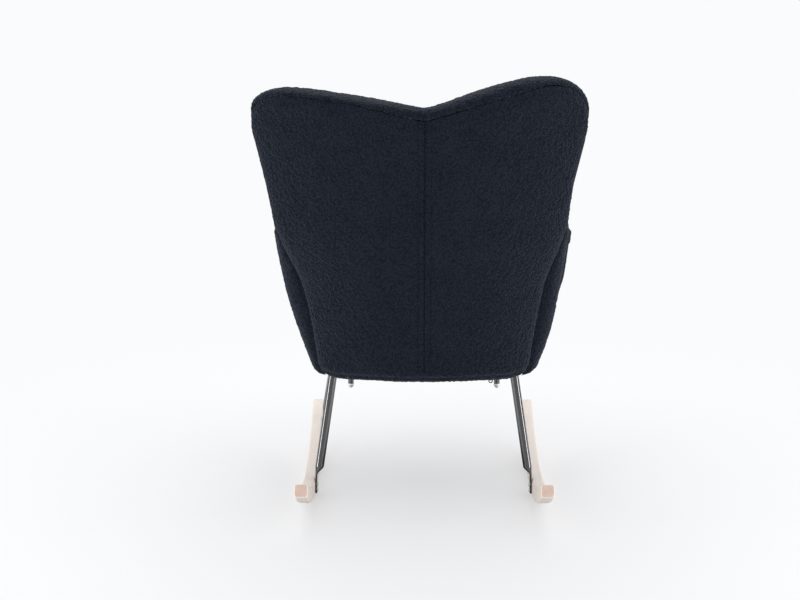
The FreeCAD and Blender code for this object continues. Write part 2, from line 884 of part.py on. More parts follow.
def make_left_arm_board(grow):
    # A plywood panel, drawn upright and leaned outward with the arm
    half = arm_board_thickness / 2.0 + grow
    front = -arm_board_front - grow
    rear = arm_board_rear + grow
    low = arm_board_base - grow
    slope = (arm_rear_height - arm_front_height) / (arm_board_front + arm_board_rear)
    high_front = arm_front_height - arm_board_cover + grow
    high_rear = high_front + slope * (arm_board_front + arm_board_rear)
    points = [V(-half, front, low), V(-half, rear, low), V(-half, rear, high_rear),
              V(-half, front, high_front)]
    board = polygon_face(points).extrude(V(2.0 * half, 0, 0))
    foot_x = (arm_base_half_width + arm_inner_half_width) / 2.0
    turn = FreeCAD.Rotation(V(0, 1, 0), arm_board_lean)
    board.Placement = FreeCAD.Placement(V(foot_x, 0, 0), turn)
    return board


def make_left_arm_frame():
    board = make_left_arm_board(0.0)
    for point in arm_bolt_points():
        board = board.cut(bolt_hole(point, X_AXIS, arm_bolt, arm_bolt_length + hole_overrun))
    return board


def make_left_arm():
    pad = skin([arm_section(*station) for station in arm_stations()]).cut(back_side_cutter())
    pad = pad.cut(make_left_arm_board(soft_gap))
    for point in arm_bolt_points():
        start = point + X_AXIS * rail_thickness
        pad = pad.cut(bolt_hole(start, X_AXIS, arm_bolt, arm_bolt_length - rail_thickness + hole_overrun))
    return pad


# Side pocket

def pocket_section(y, gap):
    # The cloth stands off the arm most at its open top
    near = soft_gap + pocket_edge_lift
    rise = pocket_top - pocket_bottom
    inner = []
    for t in (0.0, 0.3, 0.65, 1.0):
        z = pocket_bottom + t * rise
        inner.append(V(arm_outer(z) + near + gap * math.sin(0.5 * math.pi * t) ** 0.8, y, z))
    return inner + [p + V(pocket_cloth, 0, 0) for p in reversed(inner)]


def make_side_pocket():
    middle = (pocket_front + pocket_rear) / 2.0
    half = (pocket_rear - pocket_front) / 2.0
    shares = (-1.0, -0.8, 0.0, 0.8, 1.0)
    sections = [pocket_section(middle + t * half, pocket_gap * (1.0 - t ** 6)) for t in shares]
    return mirrored(skin(sections))


# Fastener groups

def make_foot_screws():
    screws = []
    for point in foot_screw_points():
        screw = bolt(point - X_AXIS * foot_thickness, X_AXIS, foot_screw, foot_screw_length, 12)
        screws += [screw, mirrored(screw)]
    return Part.Compound(screws)


def make_plate_bolts():
    return Part.Compound([bolt(p, Z_AXIS, plate_bolt, plate_bolt_length, 6)
                          for p in seat_bolt_points()])


def make_bracket_bolts():
    return Part.Compound([bolt(p, Z_AXIS, plate_bolt, plate_bolt_length, 6)
                          for p in bracket_bolt_points()])


def make_arm_bolts():
    bolts = []
    for point in arm_bolt_points():
        left = bolt(point, X_AXIS, arm_bolt, arm_bolt_length, 6)
        bolts += [left, mirrored(left)]
    return Part.Compound(bolts)


def make_all():
    front_line, rear_line = leg_lines()
    standing = {
        "left_rocker": make_left_rocker(),
        "front_left_leg": make_leg(*front_line),
        "rear_left_leg": make_leg(*rear_line),
        "rocker_screws": make_foot_screws(),
    }
    body = {
        "left_leg_plate": make_left_leg_plate(),
        "leg_plate_bolts": make_plate_bolts(),
        "left_seat_rail": make_left_seat_rail(),
        "seat_front_rail": make_seat_front_rail(),
        "seat_rear_rail": make_seat_rear_rail(),
        "seat_corner_blocks": make_corner_blocks(),
        "seat_webbing": make_seat_webbing(),
        "seat_deck": make_seat_deck(),
        "front_border": make_front_border(),
        "dust_cover": make_dust_cover(),
        "seat_cushion": make_seat_cushion(),
        "inside_back": make_inside_back(),
        "outside_back": make_outside_back(),
        "back_bottom_rail": make_bottom_rail(),
        "back_middle_rail": make_middle_rail(),
        "back_top_rail": make_top_rail(),
        "left_back_post": make_left_post(),
        "left_wing_board": make_left_wing_board(),
        "back_webbing": make_webbing(),
        "left_back_bracket": make_left_bracket(),
        "bracket_bolts": make_bracket_bolts(),
        "clamp_bolts": make_clamp_bolts(),
        "clamp_sleeves": make_clamp_sleeves(),
        "cap_nuts": make_cap_nuts(),
        "tie_hook": make_tie_hook(),
        "left_arm": make_left_arm(),
        "left_arm_frame": make_left_arm_frame(),
        "arm_bolts": make_arm_bolts(),
        "side_pocket": make_side_pocket(),
    }
    nodes = dict(standing)
    for name, shape in body.items():
        nodes[name] = seated(shape)
    for name in list(nodes):
        if "left" in name:
            nodes[name.replace("left", "right")] = mirrored(nodes[name])
    return nodes


os.makedirs("parts", exist_ok=True)
for node, shape in make_all().items():
    shape.exportStep("parts/" + node + ".step")
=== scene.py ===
import json
import math

import bmesh
import bpy
import numpy as np
from bpy.props import FloatProperty, FloatVectorProperty, PointerProperty
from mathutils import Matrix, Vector, noise
from mathutils.bvhtree import BVHTree
from mathutils.kdtree import KDTree


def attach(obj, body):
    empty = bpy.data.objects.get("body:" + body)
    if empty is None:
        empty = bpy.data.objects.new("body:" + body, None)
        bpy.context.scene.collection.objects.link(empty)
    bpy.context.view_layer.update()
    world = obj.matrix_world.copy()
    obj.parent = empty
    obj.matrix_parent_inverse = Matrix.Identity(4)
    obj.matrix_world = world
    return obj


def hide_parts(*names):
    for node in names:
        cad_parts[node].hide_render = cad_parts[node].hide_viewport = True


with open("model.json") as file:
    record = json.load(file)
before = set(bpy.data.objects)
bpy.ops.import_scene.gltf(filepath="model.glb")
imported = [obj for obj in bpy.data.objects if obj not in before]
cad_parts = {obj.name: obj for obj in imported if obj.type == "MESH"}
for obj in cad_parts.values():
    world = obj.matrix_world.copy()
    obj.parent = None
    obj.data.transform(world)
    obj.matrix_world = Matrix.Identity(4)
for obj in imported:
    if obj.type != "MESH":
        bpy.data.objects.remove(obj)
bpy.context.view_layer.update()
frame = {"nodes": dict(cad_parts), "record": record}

bl_info = {
    "name": "Wingback rocking chair",
    "version": (1, 0, 0),
    "blender": (4, 5, 0),
    "location": "3D View > Sidebar > Chair",
    "description": "Covers the chair's frame in curled pile cloth and finishes its wood and steel",
    "category": "Add Mesh",
}

# Stance of the upholstered body: drawn level, then tilted back and lifted onto the legs
TILT = math.radians(4.0)
SETBACK = 0.010
BASE = 0.311
# Shell of the back
HALF_ARC = math.radians(43.1)
LEAN = math.tan(math.radians(12.0))
SHELL_REAR = 0.1955
SHELL_BASE = 0.250
SHELL_FLARE = 0.21
PANEL = 0.020
PAD_REAR = 0.0462
RIM = 0.024
# Legs and rockers
ROCKER_INNER = 0.2515
ROCKER_WIDTH = 0.029
ROCKER_RADIUS = 0.957
ROCKER_REAR = 0.412
ROCKER_FRONT = -0.409
ROCKER_END_HEIGHT = 0.029
ROCKER_MIDDLE_HEIGHT = 0.036
REST_FLAT = 0.120
LEG_TOP_X = 0.207
# Each pair of legs: where the foot stands on the rocker and where the top meets the seat frame
FEET = ((-0.320, -0.250), (0.086, 0.020))
TUBE_HALF = 0.010
FOOT_HALF = 0.002
FOOT_HALF_BREADTH = 0.015
# Underside of the leg plates and brackets, the clamps' distance from the middle and the way down
PLATE_FACE = -0.005
CLAMP_X = 0.166
SLEEVE_LENGTH = 0.017
DOWN = (0.0, -math.sin(TILT), -math.cos(TILT))
# Height above which the wings' padding wraps the edge of the back
WRAP_START = 0.33
WRAP_EASE = 0.06
# Arms: outer face is an arc, inner face a leaning plane
ARM_FRONT = -0.397
ARM_FOOT = 0.247
ARM_BOW = 1.925
ARM_LEAN = math.radians(18.3)
# Seat pieces in plan
CUSHION_BASE = 0.0756
CUSHION_PLAN = {"half": 0.232, "front": -0.4294, "rear_side": 0.048, "rear_middle": 0.1015,
                "front_round": 0.046, "rear_round": 0.020}
DECK_PLAN = {"half": 0.234, "front": -0.3776, "rear_side": 0.048, "rear_middle": 0.1015,
             "front_round": 0.004, "rear_round": 0.006}


def seated(points):
    """Level body coordinates to the chair's own frame."""
    p = np.asarray(points, float)
    out = p.copy()
    out[..., 1] = p[..., 1] * math.cos(TILT) + p[..., 2] * math.sin(TILT) + SETBACK
    out[..., 2] = p[..., 2] * math.cos(TILT) - p[..., 1] * math.sin(TILT) + BASE
    return out


def through(knots, t):
    """A smooth line through a few (place, value) pairs."""
    xs = np.array([k[0] for k in knots], float)
    ys = np.array([k[1] for k in knots], float)
    slopes = np.gradient(ys, xs)
    t = np.clip(np.asarray(t, float), xs[0], xs[-1])
    i = np.clip(np.searchsorted(xs, t) - 1, 0, len(xs) - 2)
    h = xs[i + 1] - xs[i]
    s = (t - xs[i]) / h
    return ((2 * s**3 - 3 * s**2 + 1) * ys[i] + (s**3 - 2 * s**2 + s) * h * slopes[i]
            + (3 * s**2 - 2 * s**3) * ys[i + 1] + (s**3 - s**2) * h * slopes[i + 1])


def ease(t):
    t = np.clip(t, 0.0, 1.0)
    return t * t * (3.0 - 2.0 * t)


def groove(distance, width):
    return np.exp(-(distance / width) ** 2)


# Mesh building

def new_object(name, data):
    obj = bpy.data.objects.new(name, data)
    bpy.context.scene.collection.objects.link(obj)
    return obj


def add_piece(name, verts, faces, material, pile=None):
    """pile is the share of the pile's height at each point, less along seams."""
    mesh = bpy.data.meshes.new(name)
    mesh.from_pydata([tuple(v) for v in verts], [], [tuple(int(i) for i in f) for f in faces])
    mesh.materials.append(material)
    if pile is not None:
        share = mesh.attributes.new("pile_share", "FLOAT", "POINT")
        share.data.foreach_set("value", np.asarray(pile, float).ravel())
    bm = bmesh.new()
    bm.from_mesh(mesh)
    bmesh.ops.remove_doubles(bm, verts=bm.verts, dist=1e-6)
    bmesh.ops.recalc_face_normals(bm, faces=bm.faces)
    bm.to_mesh(mesh)
    bm.free()
    mesh.polygons.foreach_set("use_smooth", [True] * len(mesh.polygons))
    mesh.update()
    return new_object(name, mesh)


def ring_faces(rows, count):
    """Quads through closed loops of points."""
    i = np.arange(rows - 1)[:, None] * count
    j = np.arange(count)[None, :]
    k = (j + 1) % count
    return np.stack([i + j, i + k, i + count + k, i + count + j], -1).reshape(-1, 4).tolist()


def loft_faces(rows, count):
    """Quads through closed loops, with both end loops zipped shut."""
    faces = ring_faces(rows, count)
    for start in (0, (rows - 1) * count):
        for a in range(count // 2 - 1):
            faces.append([start + a, start + a + 1, start + count - 2 - a, start + count - 1 - a])
    return faces


def loft(name, loops, material, pile=None):
    loops = np.asarray(loops, float)
    rows, count = loops.shape[:2]
    return add_piece(name, loops.reshape(-1, 3), loft_faces(rows, count), material, pile)


def points_of(obj):
    co = np.empty(len(obj.data.vertices) * 3)
    obj.data.vertices.foreach_get("co", co)
    return co.reshape(-1, 3)


def put_points(obj, co):
    obj.data.vertices.foreach_set("co", np.ascontiguousarray(co, float).ravel())
    obj.data.update()


def normals_of(obj):
    n = np.empty(len(obj.data.vertices) * 3)
    obj.data.vertex_normals.foreach_get("vector", n)
    return n.reshape(-1, 3)


def raise_pile(obj, height, size, unevenness=0.0015):
    """Curls stand out of the cloth in soft knots, over slow hollows of the padding."""
    co = points_of(obj)
    rise = np.empty(len(co))
    share = np.ones(len(co))
    if "pile_share" in obj.data.attributes:
        obj.data.attributes["pile_share"].data.foreach_get("value", share)
        obj.data.attributes.remove(obj.data.attributes["pile_share"])
    for i, p in enumerate(co):
        v = Vector(p)
        knot = 1.0 - noise.voronoi(v / size)[0][0]
        fuzz = noise.noise(v / (0.55 * size))
        slow = noise.noise(v / 0.11)
        rise[i] = height * share[i] * (0.75 * (knot - 0.45) + 0.5 * fuzz) + unevenness * slow
    put_points(obj, co + normals_of(obj) * rise[:, None])


def puffed(obj, voxel, pressure, cap):
    """Blows the pad up a little inside its cover with a short cloth run, then keeps the result."""
    scene = bpy.context.scene
    remesh = obj.modifiers.new("even_cover", "REMESH")
    remesh.mode = "VOXEL"
    remesh.voxel_size = voxel
    keep_result(obj)
    start = points_of(obj)
    cloth = obj.modifiers.new("stuffing", "CLOTH")
    cloth.settings.use_pressure = True
    cloth.settings.uniform_pressure_force = pressure
    cloth.settings.effector_weights.gravity = 0.0
    cloth.settings.tension_stiffness = 12.0
    cloth.settings.compression_stiffness = 12.0
    cloth.settings.bending_stiffness = 1.0
    cloth.collision_settings.use_collision = False
    cloth.point_cache.frame_start = 1
    cloth.point_cache.frame_end = 20
    for number in range(1, 21):
        scene.frame_set(number)
    keep_result(obj)
    scene.frame_set(1)
    move = points_of(obj) - start
    far = np.linalg.norm(move, axis=1, keepdims=True)
    put_points(obj, start + move * np.minimum(1.0, cap / np.maximum(far, 1e-9)))


def keep_result(obj):
    """Turns what the modifiers give into the piece's own mesh."""
    bpy.context.view_layer.update()
    ready = obj.evaluated_get(bpy.context.evaluated_depsgraph_get())
    mesh = bpy.data.meshes.new_from_object(ready)
    material = obj.data.materials[0] if obj.data.materials else None
    obj.modifiers.clear()
    old = obj.data
    obj.data = mesh
    mesh.name = obj.name
    bpy.data.meshes.remove(old)
    if material and not mesh.materials:
        mesh.materials.append(material)
    mesh.polygons.foreach_set("use_smooth", [True] * len(mesh.polygons))


def subdivided(obj):
    modifier = obj.modifiers.new("finer_cover", "SUBSURF")
    modifier.levels = 1
    modifier.render_levels = 1
    keep_result(obj)


def dress(obj, slot, *nodes, body="chair"):
    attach(obj, body)
    if nodes:
        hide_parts(*nodes)


# Node trees

def feed(tree, node, inputs):
    """Gives a node's inputs their values, or links them to what other nodes give."""
    for key, value in inputs.items():
        if isinstance(value, bpy.types.NodeSocket):
            tree.links.new(value, node.inputs[key])
        else:
            node.inputs[key].default_value = value


def node_in(tree, kind, inputs, **settings):
    node = tree.nodes.new(kind)
    for name, value in settings.items():
        setattr(node, name, value)
    feed(tree, node, inputs)
    return node


def node_group(name, build):
    """A group of nodes, made the first time that it is asked for."""
    return bpy.data.node_groups.get(name) or build(name)


def group_start(name, kind, inputs, outputs):
    """An empty group: inputs give kind, label and default, outputs give kind and label."""
    tree = bpy.data.node_groups.new(name, kind + "NodeTree")
    for socket_kind, label, value in inputs:
        socket = tree.interface.new_socket(label, in_out="INPUT", socket_type="NodeSocket" + socket_kind)
        if value is not None:
            socket.default_value = value
    for socket_kind, label in outputs:
        tree.interface.new_socket(label, in_out="OUTPUT", socket_type="NodeSocket" + socket_kind)
    return tree, tree.nodes.new("NodeGroupInput").outputs, tree.nodes.new("NodeGroupOutput")


def math_node(tree, operation, *values):
    return node_in(tree, "ShaderNodeMath", dict(enumerate(values)), operation=operation).outputs[0]


def vector_node(tree, operation, *values):
    return node_in(tree, "ShaderNodeVectorMath", dict(enumerate(values)), operation=operation).outputs[0]


def noise_node(tree, vector, scale, detail=2.0, rough=0.5, distort=0.0):
    return node_in(tree, "ShaderNodeTexNoise", {"Vector": vector, "Scale": scale, "Detail": detail,
                                                "Roughness": rough, "Distortion": distort}).outputs


def remap(tree, value, low, high, to_low=0.0, to_high=1.0, **settings):
    ends = {"Value": value, "From Min": low, "From Max": high, "To Min": to_low, "To Max": to_high}
    return node_in(tree, "ShaderNodeMapRange", ends, **settings).outputs["Result"]


def mix_colours(tree, share, a, b):
    return node_in(tree, "ShaderNodeMix", {0: share, 6: a, 7: b}, data_type="RGBA").outputs[2]


def mix_shaders(tree, share, a, b):
    return node_in(tree, "ShaderNodeMixShader", {0: share, 1: a, 2: b}).outputs[0]


def pile_group(name):
    """Curled pile: small knots of yarn with dark gaps between them; the dark of the gaps is painted shade."""
    tree, start, end = group_start(
        name, "Shader",
        [("Vector", "Place", None), ("Float", "Knots per metre", 190.0),
         ("Color", "Gap", (0.008, 0.01, 0.014, 1.0)), ("Color", "Yarn", (0.024, 0.028, 0.039, 1.0))],
        [("Color", "Colour"), ("Float", "Height")])
    place = start["Place"]
    bend = noise_node(tree, place, 95.0)["Color"]
    centred = vector_node(tree, "SUBTRACT", bend, (0.5, 0.5, 0.5))
    moved = vector_node(tree, "MULTIPLY_ADD", centred, (0.006, 0.006, 0.006), place)
    knots = node_in(tree, "ShaderNodeTexVoronoi", {"Vector": moved, "Scale": start["Knots per metre"],
                                                   "Smoothness": 0.35}, feature="SMOOTH_F1")
    dome = remap(tree, knots.outputs["Distance"], 0.0, 0.75, 1.0, 0.0)
    height = math_node(tree, "MULTIPLY_ADD", noise_node(tree, place, 900.0, 3.0, 0.6)[0], 0.45, dome)
    slow = noise_node(tree, place, 14.0, 3.0)[0]
    # Painted shade: the colour runs from the lit yarn colour on the knots' tops to the dark gap colour where
    # they are low, with a slow random tone mixed in
    gap_shade_and_tone = remap(tree, math_node(tree, "MULTIPLY_ADD", slow, 0.5, height), 0.45, 1.45)
    feed(tree, end, {"Colour": mix_colours(tree, gap_shade_and_tone, start["Gap"], start["Yarn"]), "Height": height})
    return tree


def grain_group(name):
    """Long grain: streaks and pores drawn out along one direction."""
    tree, start, end = group_start(
        name, "Shader",
        [("Vector", "Along", None), ("Color", "Pale", (0.8, 0.7, 0.62, 1.0)),
         ("Color", "Streak", (0.7, 0.55, 0.45, 1.0)), ("Float", "Streaks", 1.0)],
        [("Color", "Colour"), ("Float", "Height"), ("Float", "Sheen loss")])
    along = start["Along"]
    bands = noise_node(tree, along, 34.0, 4.0, 0.55, 0.6)[0]
    fine = noise_node(tree, along, 160.0, 3.0, 0.6)[0]
    mixed = math_node(tree, "MULTIPLY_ADD", fine, 0.55, bands)
    strong = math_node(tree, "MULTIPLY", remap(tree, mixed, 0.55, 1.05), start["Streaks"])
    pore = remap(tree, noise_node(tree, along, 520.0)[0], 0.62, 0.72)
    dark = math_node(tree, "MINIMUM", math_node(tree, "MULTIPLY_ADD", pore, 0.25, strong), 1.0)
    feed(tree, end, {"Colour": mix_colours(tree, dark, start["Pale"], start["Streak"]),
                     "Height": math_node(tree, "MULTIPLY_ADD", pore, -0.6, fine),
                     "Sheen loss": remap(tree, mixed, 0.4, 1.1, 0.36, 0.55)})
    return tree


def coat_group(name):
    """Fine unevenness of a sprayed or plated skin, with a little dust in it."""
    tree, start, end = group_start(
        name, "Shader",
        [("Vector", "Place", None), ("Color", "Coat", (0.02, 0.02, 0.02, 1.0)),
         ("Color", "Dust", (0.06, 0.06, 0.06, 1.0)), ("Float", "Smooth", 0.3), ("Float", "Rough", 0.5)],
        [("Color", "Colour"), ("Float", "Height"), ("Float", "Roughness")])
    place = start["Place"]
    share = remap(tree, noise_node(tree, place, 24.0, 5.0, 0.65)[0], 0.5, 0.85)
    span = math_node(tree, "SUBTRACT", start["Rough"], start["Smooth"])
    feed(tree, end, {"Colour": mix_colours(tree, share, start["Coat"], start["Dust"]),
                     "Height": noise_node(tree, place, 620.0)[0],
                     "Roughness": math_node(tree, "MULTIPLY_ADD", share, span, start["Smooth"])})
    return tree


# Materials

def material_start(name):
    material = bpy.data.materials.new(name)
    material.use_nodes = True
    tree = material.node_tree
    shader = next(n for n in tree.nodes if n.type == "BSDF_PRINCIPLED")
    place = tree.nodes.new("ShaderNodeTexCoord").outputs["Object"]
    return material, tree, shader, place


def placed_group(tree, group, inputs):
    return node_in(tree, "ShaderNodeGroup", inputs, node_tree=group).outputs


def bump(tree, height, distance, strength):
    return node_in(tree, "ShaderNodeBump", {"Height": height, "Distance": distance,
                                            "Strength": strength}).outputs[0]


def opaque(colour):
    return (colour[0], colour[1], colour[2], 1.0)


def finish(name):
    """The finishes of the chair, each made once."""
    if name in bpy.data.materials:
        return bpy.data.materials[name]
    return FINISHES[name](name)


def pile_cloth(name):
    look = bpy.context.scene.chair_cloth
    material, tree, shader, place = material_start(name)
    pile = placed_group(tree, node_group("curled_pile", pile_group),
                        {"Place": place, "Knots per metre": 1.0 / look.curl_size,
                         "Gap": opaque(look.gap_colour), "Yarn": opaque(look.yarn_colour)})
    feed(tree, shader, {"Base Color": pile["Colour"], "Normal": bump(tree, pile["Height"], 0.0022, 0.8),
                        "Roughness": 0.95, "Specular IOR Level": 0.08, "Sheen Weight": 0.15,
                        "Sheen Roughness": 0.4, "Sheen Tint": (0.78, 0.85, 1.0, 1.0)})
    return material


def plain_cloth(name):
    """Flat woven cloth and bonded lining, with crossing threads."""
    colours = {"deck_cloth": ((0.018, 0.02, 0.025), (0.05, 0.054, 0.064), 620.0),
               "lining_cloth": ((0.006, 0.006, 0.007), (0.022, 0.022, 0.025), 380.0),
               "webbing_band": ((0.008, 0.008, 0.009), (0.05, 0.05, 0.053), 420.0)}
    low, high, count = colours[name]
    material, tree, shader, place = material_start(name)
    turns = vector_node(tree, "MULTIPLY", place, (count * math.pi,) * 3)
    split = node_in(tree, "ShaderNodeSeparateXYZ", {0: turns}).outputs
    cross = math_node(tree, "MULTIPLY", math_node(tree, "SINE", split[0]), math_node(tree, "SINE", split[1]))
    threads = math_node(tree, "MULTIPLY_ADD", noise_node(tree, place, 480.0, 3.0)[0], 0.9, cross)
    share = remap(tree, threads, -0.6, 1.4)
    feed(tree, shader, {"Base Color": mix_colours(tree, share, opaque(low), opaque(high)),
                        "Normal": bump(tree, threads, 0.0004, 0.7), "Roughness": 0.88,
                        "Specular IOR Level": 0.2})
    return material


def thread_finish(name):
    look = bpy.context.scene.chair_cloth
    material, tree, shader, place = material_start(name)
    share = remap(tree, noise_node(tree, place, 1500.0, 1.0)[0], 0.35, 0.7)
    dark = tuple(0.5 * c for c in look.thread_colour)
    feed(tree, shader, {"Base Color": mix_colours(tree, share, opaque(dark), opaque(look.thread_colour)),
                        "Roughness": 0.7})
    return material


def wood_finish(name):
    look = bpy.context.scene.chair_wood
    material, tree, shader, place = material_start(name)
    stretch = {"rocker_grain": (1.0, 0.07, 1.0), "frame_grain": (0.09, 0.6, 0.6)}[name]
    pale = look.rocker_pale if name == "rocker_grain" else look.frame_pale
    streak = look.rocker_streak if name == "rocker_grain" else look.frame_streak
    grain = placed_group(tree, node_group("long_grain", grain_group),
                         {"Along": vector_node(tree, "MULTIPLY", place, stretch), "Pale": opaque(pale),
                          "Streak": opaque(streak), "Streaks": 0.8})
    feed(tree, shader, {"Base Color": grain["Colour"], "Roughness": grain["Sheen loss"],
                        "Normal": bump(tree, grain["Height"], 0.0004, 0.35)})
    return material


def end_grain_finish(name):
    """Sawn ends: arcs of the rings and a darker, thirstier surface."""
    look = bpy.context.scene.chair_wood
    material, tree, shader, place = material_start(name)
    shifted = vector_node(tree, "ADD", place, (0.0, 0.0, 0.06))
    rings = node_in(tree, "ShaderNodeTexWave", {"Vector": shifted, "Scale": 46.0, "Distortion": 2.2,
                                                "Detail": 2.0}, wave_type="RINGS", rings_direction="Y")
    pores = noise_node(tree, place, 750.0, 3.0)[0]
    blotch = noise_node(tree, place, 70.0, 3.0)[0]
    sum_one = math_node(tree, "MULTIPLY_ADD", rings.outputs["Fac"], 0.16, pores)
    both = math_node(tree, "MULTIPLY_ADD", blotch, 0.7, sum_one)
    share = remap(tree, both, 0.45, 1.25)
    feed(tree, shader, {"Base Color": mix_colours(tree, share, opaque(look.end_dark), opaque(look.end_pale)),
                        "Normal": bump(tree, both, 0.0004, 0.5), "Roughness": 0.7})
    return material


def metal_finish(name):
    look = bpy.context.scene.chair_steel
    values = {"black_coat": (look.coat_colour, (0.03, 0.032, 0.038), 0.14, 0.24, 0.0, 2.2, 0.00003),
              "bright_zinc": (look.zinc_colour, (0.55, 0.55, 0.54), 0.30, 0.50, 0.6, 1.5, 0.00005)}
    coat, dust, smooth, rough, metal, gloss, depth = values[name]
    material, tree, shader, place = material_start(name)
    skin = placed_group(tree, node_group("coated_skin", coat_group),
                        {"Place": place, "Coat": opaque(coat), "Dust": opaque(dust), "Smooth": smooth,
                         "Rough": rough})
    feed(tree, shader, {"Base Color": skin["Colour"], "Roughness": skin["Roughness"],
                        "Normal": bump(tree, skin["Height"], depth, 0.5), "Metallic": metal, "IOR": gloss})
    return material


FINISHES = {
    "pile_cloth": pile_cloth, "deck_cloth": plain_cloth, "lining_cloth": plain_cloth,
    "webbing_band": plain_cloth, "sewing_thread": thread_finish, "rocker_grain": wood_finish,
    "frame_grain": wood_finish, "rocker_end_grain": end_grain_finish, "black_coat": metal_finish,
    "bright_zinc": metal_finish,
}
SLOT_FINISH = {"boucle": "pile_cloth", "lining": "lining_cloth", "deck_pad": "deck_cloth",
               "webbing": "webbing_band", "rocker_wood": "rocker_grain", "frame_wood": "frame_grain",
               "black_steel": "black_coat", "zinc_steel": "bright_zinc"}


# Geometry node trees for what repeats

def stood_on(tree, points, shape, way, axis, size, material):
    """Copies of a shape on points, each turned to its own way, made into one mesh."""
    turn = node_in(tree, "FunctionNodeAlignRotationToVector", {"Vector": way}, axis=axis).outputs[0]
    copies = node_in(tree, "GeometryNodeInstanceOnPoints",
                     {"Points": points, "Instance": shape, "Rotation": turn, "Scale": size}).outputs[0]
    real = node_in(tree, "GeometryNodeRealizeInstances", {0: copies}).outputs[0]
    return node_in(tree, "GeometryNodeSetMaterial", {"Geometry": real, "Material": material}).outputs[0]


def stitch_tree(name):
    """Stitches of one length lie end to end along every line they are given."""
    tree, start, end = group_start(
        name, "Geometry",
        [("Geometry", "Geometry", None), ("Float", "Pitch", None), ("Float", "Stitch length", None),
         ("Float", "Thread", None), ("Material", "Finish", None)],
        [("Geometry", "Geometry")])
    curve = node_in(tree, "GeometryNodeMeshToCurve", {0: start["Geometry"]}).outputs[0]
    points = node_in(tree, "GeometryNodeResampleCurve", {"Curve": curve, "Length": start["Pitch"]},
                     mode="LENGTH").outputs[0]
    tangent = tree.nodes.new("GeometryNodeInputTangent").outputs[0]
    bead = node_in(tree, "GeometryNodeMeshUVSphere", {"Segments": 6, "Rings": 4, "Radius": 0.5})
    size = node_in(tree, "ShaderNodeCombineXYZ", {0: start["Stitch length"], 1: start["Thread"],
                                                  2: start["Thread"]}).outputs[0]
    feed(tree, end, {0: stood_on(tree, points, bead.outputs["Mesh"], tangent, "X", size, start["Finish"])})
    return tree


def fastener_tree(name):
    """One fastener shape stands on every point, facing the way that the point names."""
    tree, start, end = group_start(
        name, "Geometry",
        [("Geometry", "Geometry", None), ("Object", "Fastener", None), ("Float", "Size", None),
         ("Material", "Finish", None)],
        [("Geometry", "Geometry")])
    shape = node_in(tree, "GeometryNodeObjectInfo", {"Object": start["Fastener"]}).outputs["Geometry"]
    facing = node_in(tree, "GeometryNodeInputNamedAttribute", {"Name": "facing"},
                     data_type="FLOAT_VECTOR").outputs["Attribute"]
    feed(tree, end, {0: stood_on(tree, start["Geometry"], shape, facing, "Z", start["Size"],
                                 start["Finish"])})
    return tree


def grown(obj, tree, **values):
    """Runs a node tree on a piece and keeps what it makes as a plain mesh."""
    modifier = obj.modifiers.new(tree.name, "NODES")
    modifier.node_group = tree
    for item in tree.interface.items_tree:
        key = item.name.replace(" ", "_")
        if item.in_out == "INPUT" and key in values:
            modifier[item.identifier] = values[key]
    keep_result(obj)


def line_object(name, rows):
    """Open lines of points, as edges only."""
    verts, edges = [], []
    for row in rows:
        first = len(verts)
        verts += [tuple(p) for p in row]
        edges += [(first + i, first + i + 1) for i in range(len(row) - 1)]
    mesh = bpy.data.meshes.new(name)
    mesh.from_pydata(verts, edges, [])
    return new_object(name, mesh)


def stitches(name, rows, body="chair", pitch=0.0062):
    look = bpy.context.scene.chair_cloth
    obj = line_object(name, rows)
    grown(obj, node_group("stitch_row", stitch_tree), Pitch=pitch, Stitch_length=0.68 * pitch,
          Thread=look.thread_size, Finish=finish("sewing_thread"))
    dress(obj, "boucle", body=body)


def fasteners(name, shape, spots, finish_name, size=1.0):
    """spots holds pairs of place and facing."""
    mesh = bpy.data.meshes.new(name)
    mesh.from_pydata([tuple(p) for p, way in spots], [], [])
    facing = mesh.attributes.new("facing", "FLOAT_VECTOR", "POINT")
    facing.data.foreach_set("vector", np.array([way for p, way in spots], float).ravel())
    obj = new_object(name, mesh)
    grown(obj, node_group("fasteners_on_points", fastener_tree), Fastener=shape, Size=size,
          Finish=finish(finish_name))
    bpy.data.objects.remove(shape)
    for polygon in obj.data.polygons:
        polygon.use_smooth = False
    return obj


def on_surface(obj, points, lift):
    """Carries points to the nearest place on a piece, a little above its cloth."""
    mesh = obj.data
    tree = BVHTree.FromPolygons([v.co for v in mesh.vertices], [p.vertices for p in mesh.polygons])
    found = []
    for p in points:
        spot, normal, _, _ = tree.find_nearest(Vector(p))
        found.append(spot + normal * lift)
    return found


# Shell of the back

def shell_half_width(z):
    """Drawn in beside the arms' rear ends, full again where the wings begin."""
    return through(((0.0, 0.248), (0.06, 0.256), (0.118, 0.264), (0.17, 0.273), (0.213, 0.283), (0.25, 0.297),
                    (0.29, 0.315), (0.345, 0.3349), (0.45, 0.3552), (0.60, 0.3830), (0.70, 0.3806)), z)


def wing_sway(z):
    """The stuffed wings lean a little towards the sitter's left."""
    return bpy.context.scene.chair_back.wing_sway * ease((z - 0.1) / 0.4)


def shell_radius(z):
    return (SHELL_BASE + SHELL_FLARE * z) / math.sin(HALF_ARC)


def shell(u, z, depth):
    """u runs from wing edge to wing edge, depth goes in from the outer face."""
    radius = shell_radius(z)
    r = radius - depth
    x = r * np.sin(u * HALF_ARC) * shell_half_width(z) / (SHELL_BASE + SHELL_FLARE * z)
    x = x + wing_sway(z) * u * u
    return np.stack([x, SHELL_REAR + z * LEAN - radius + r * np.cos(u * HALF_ARC), z], -1)


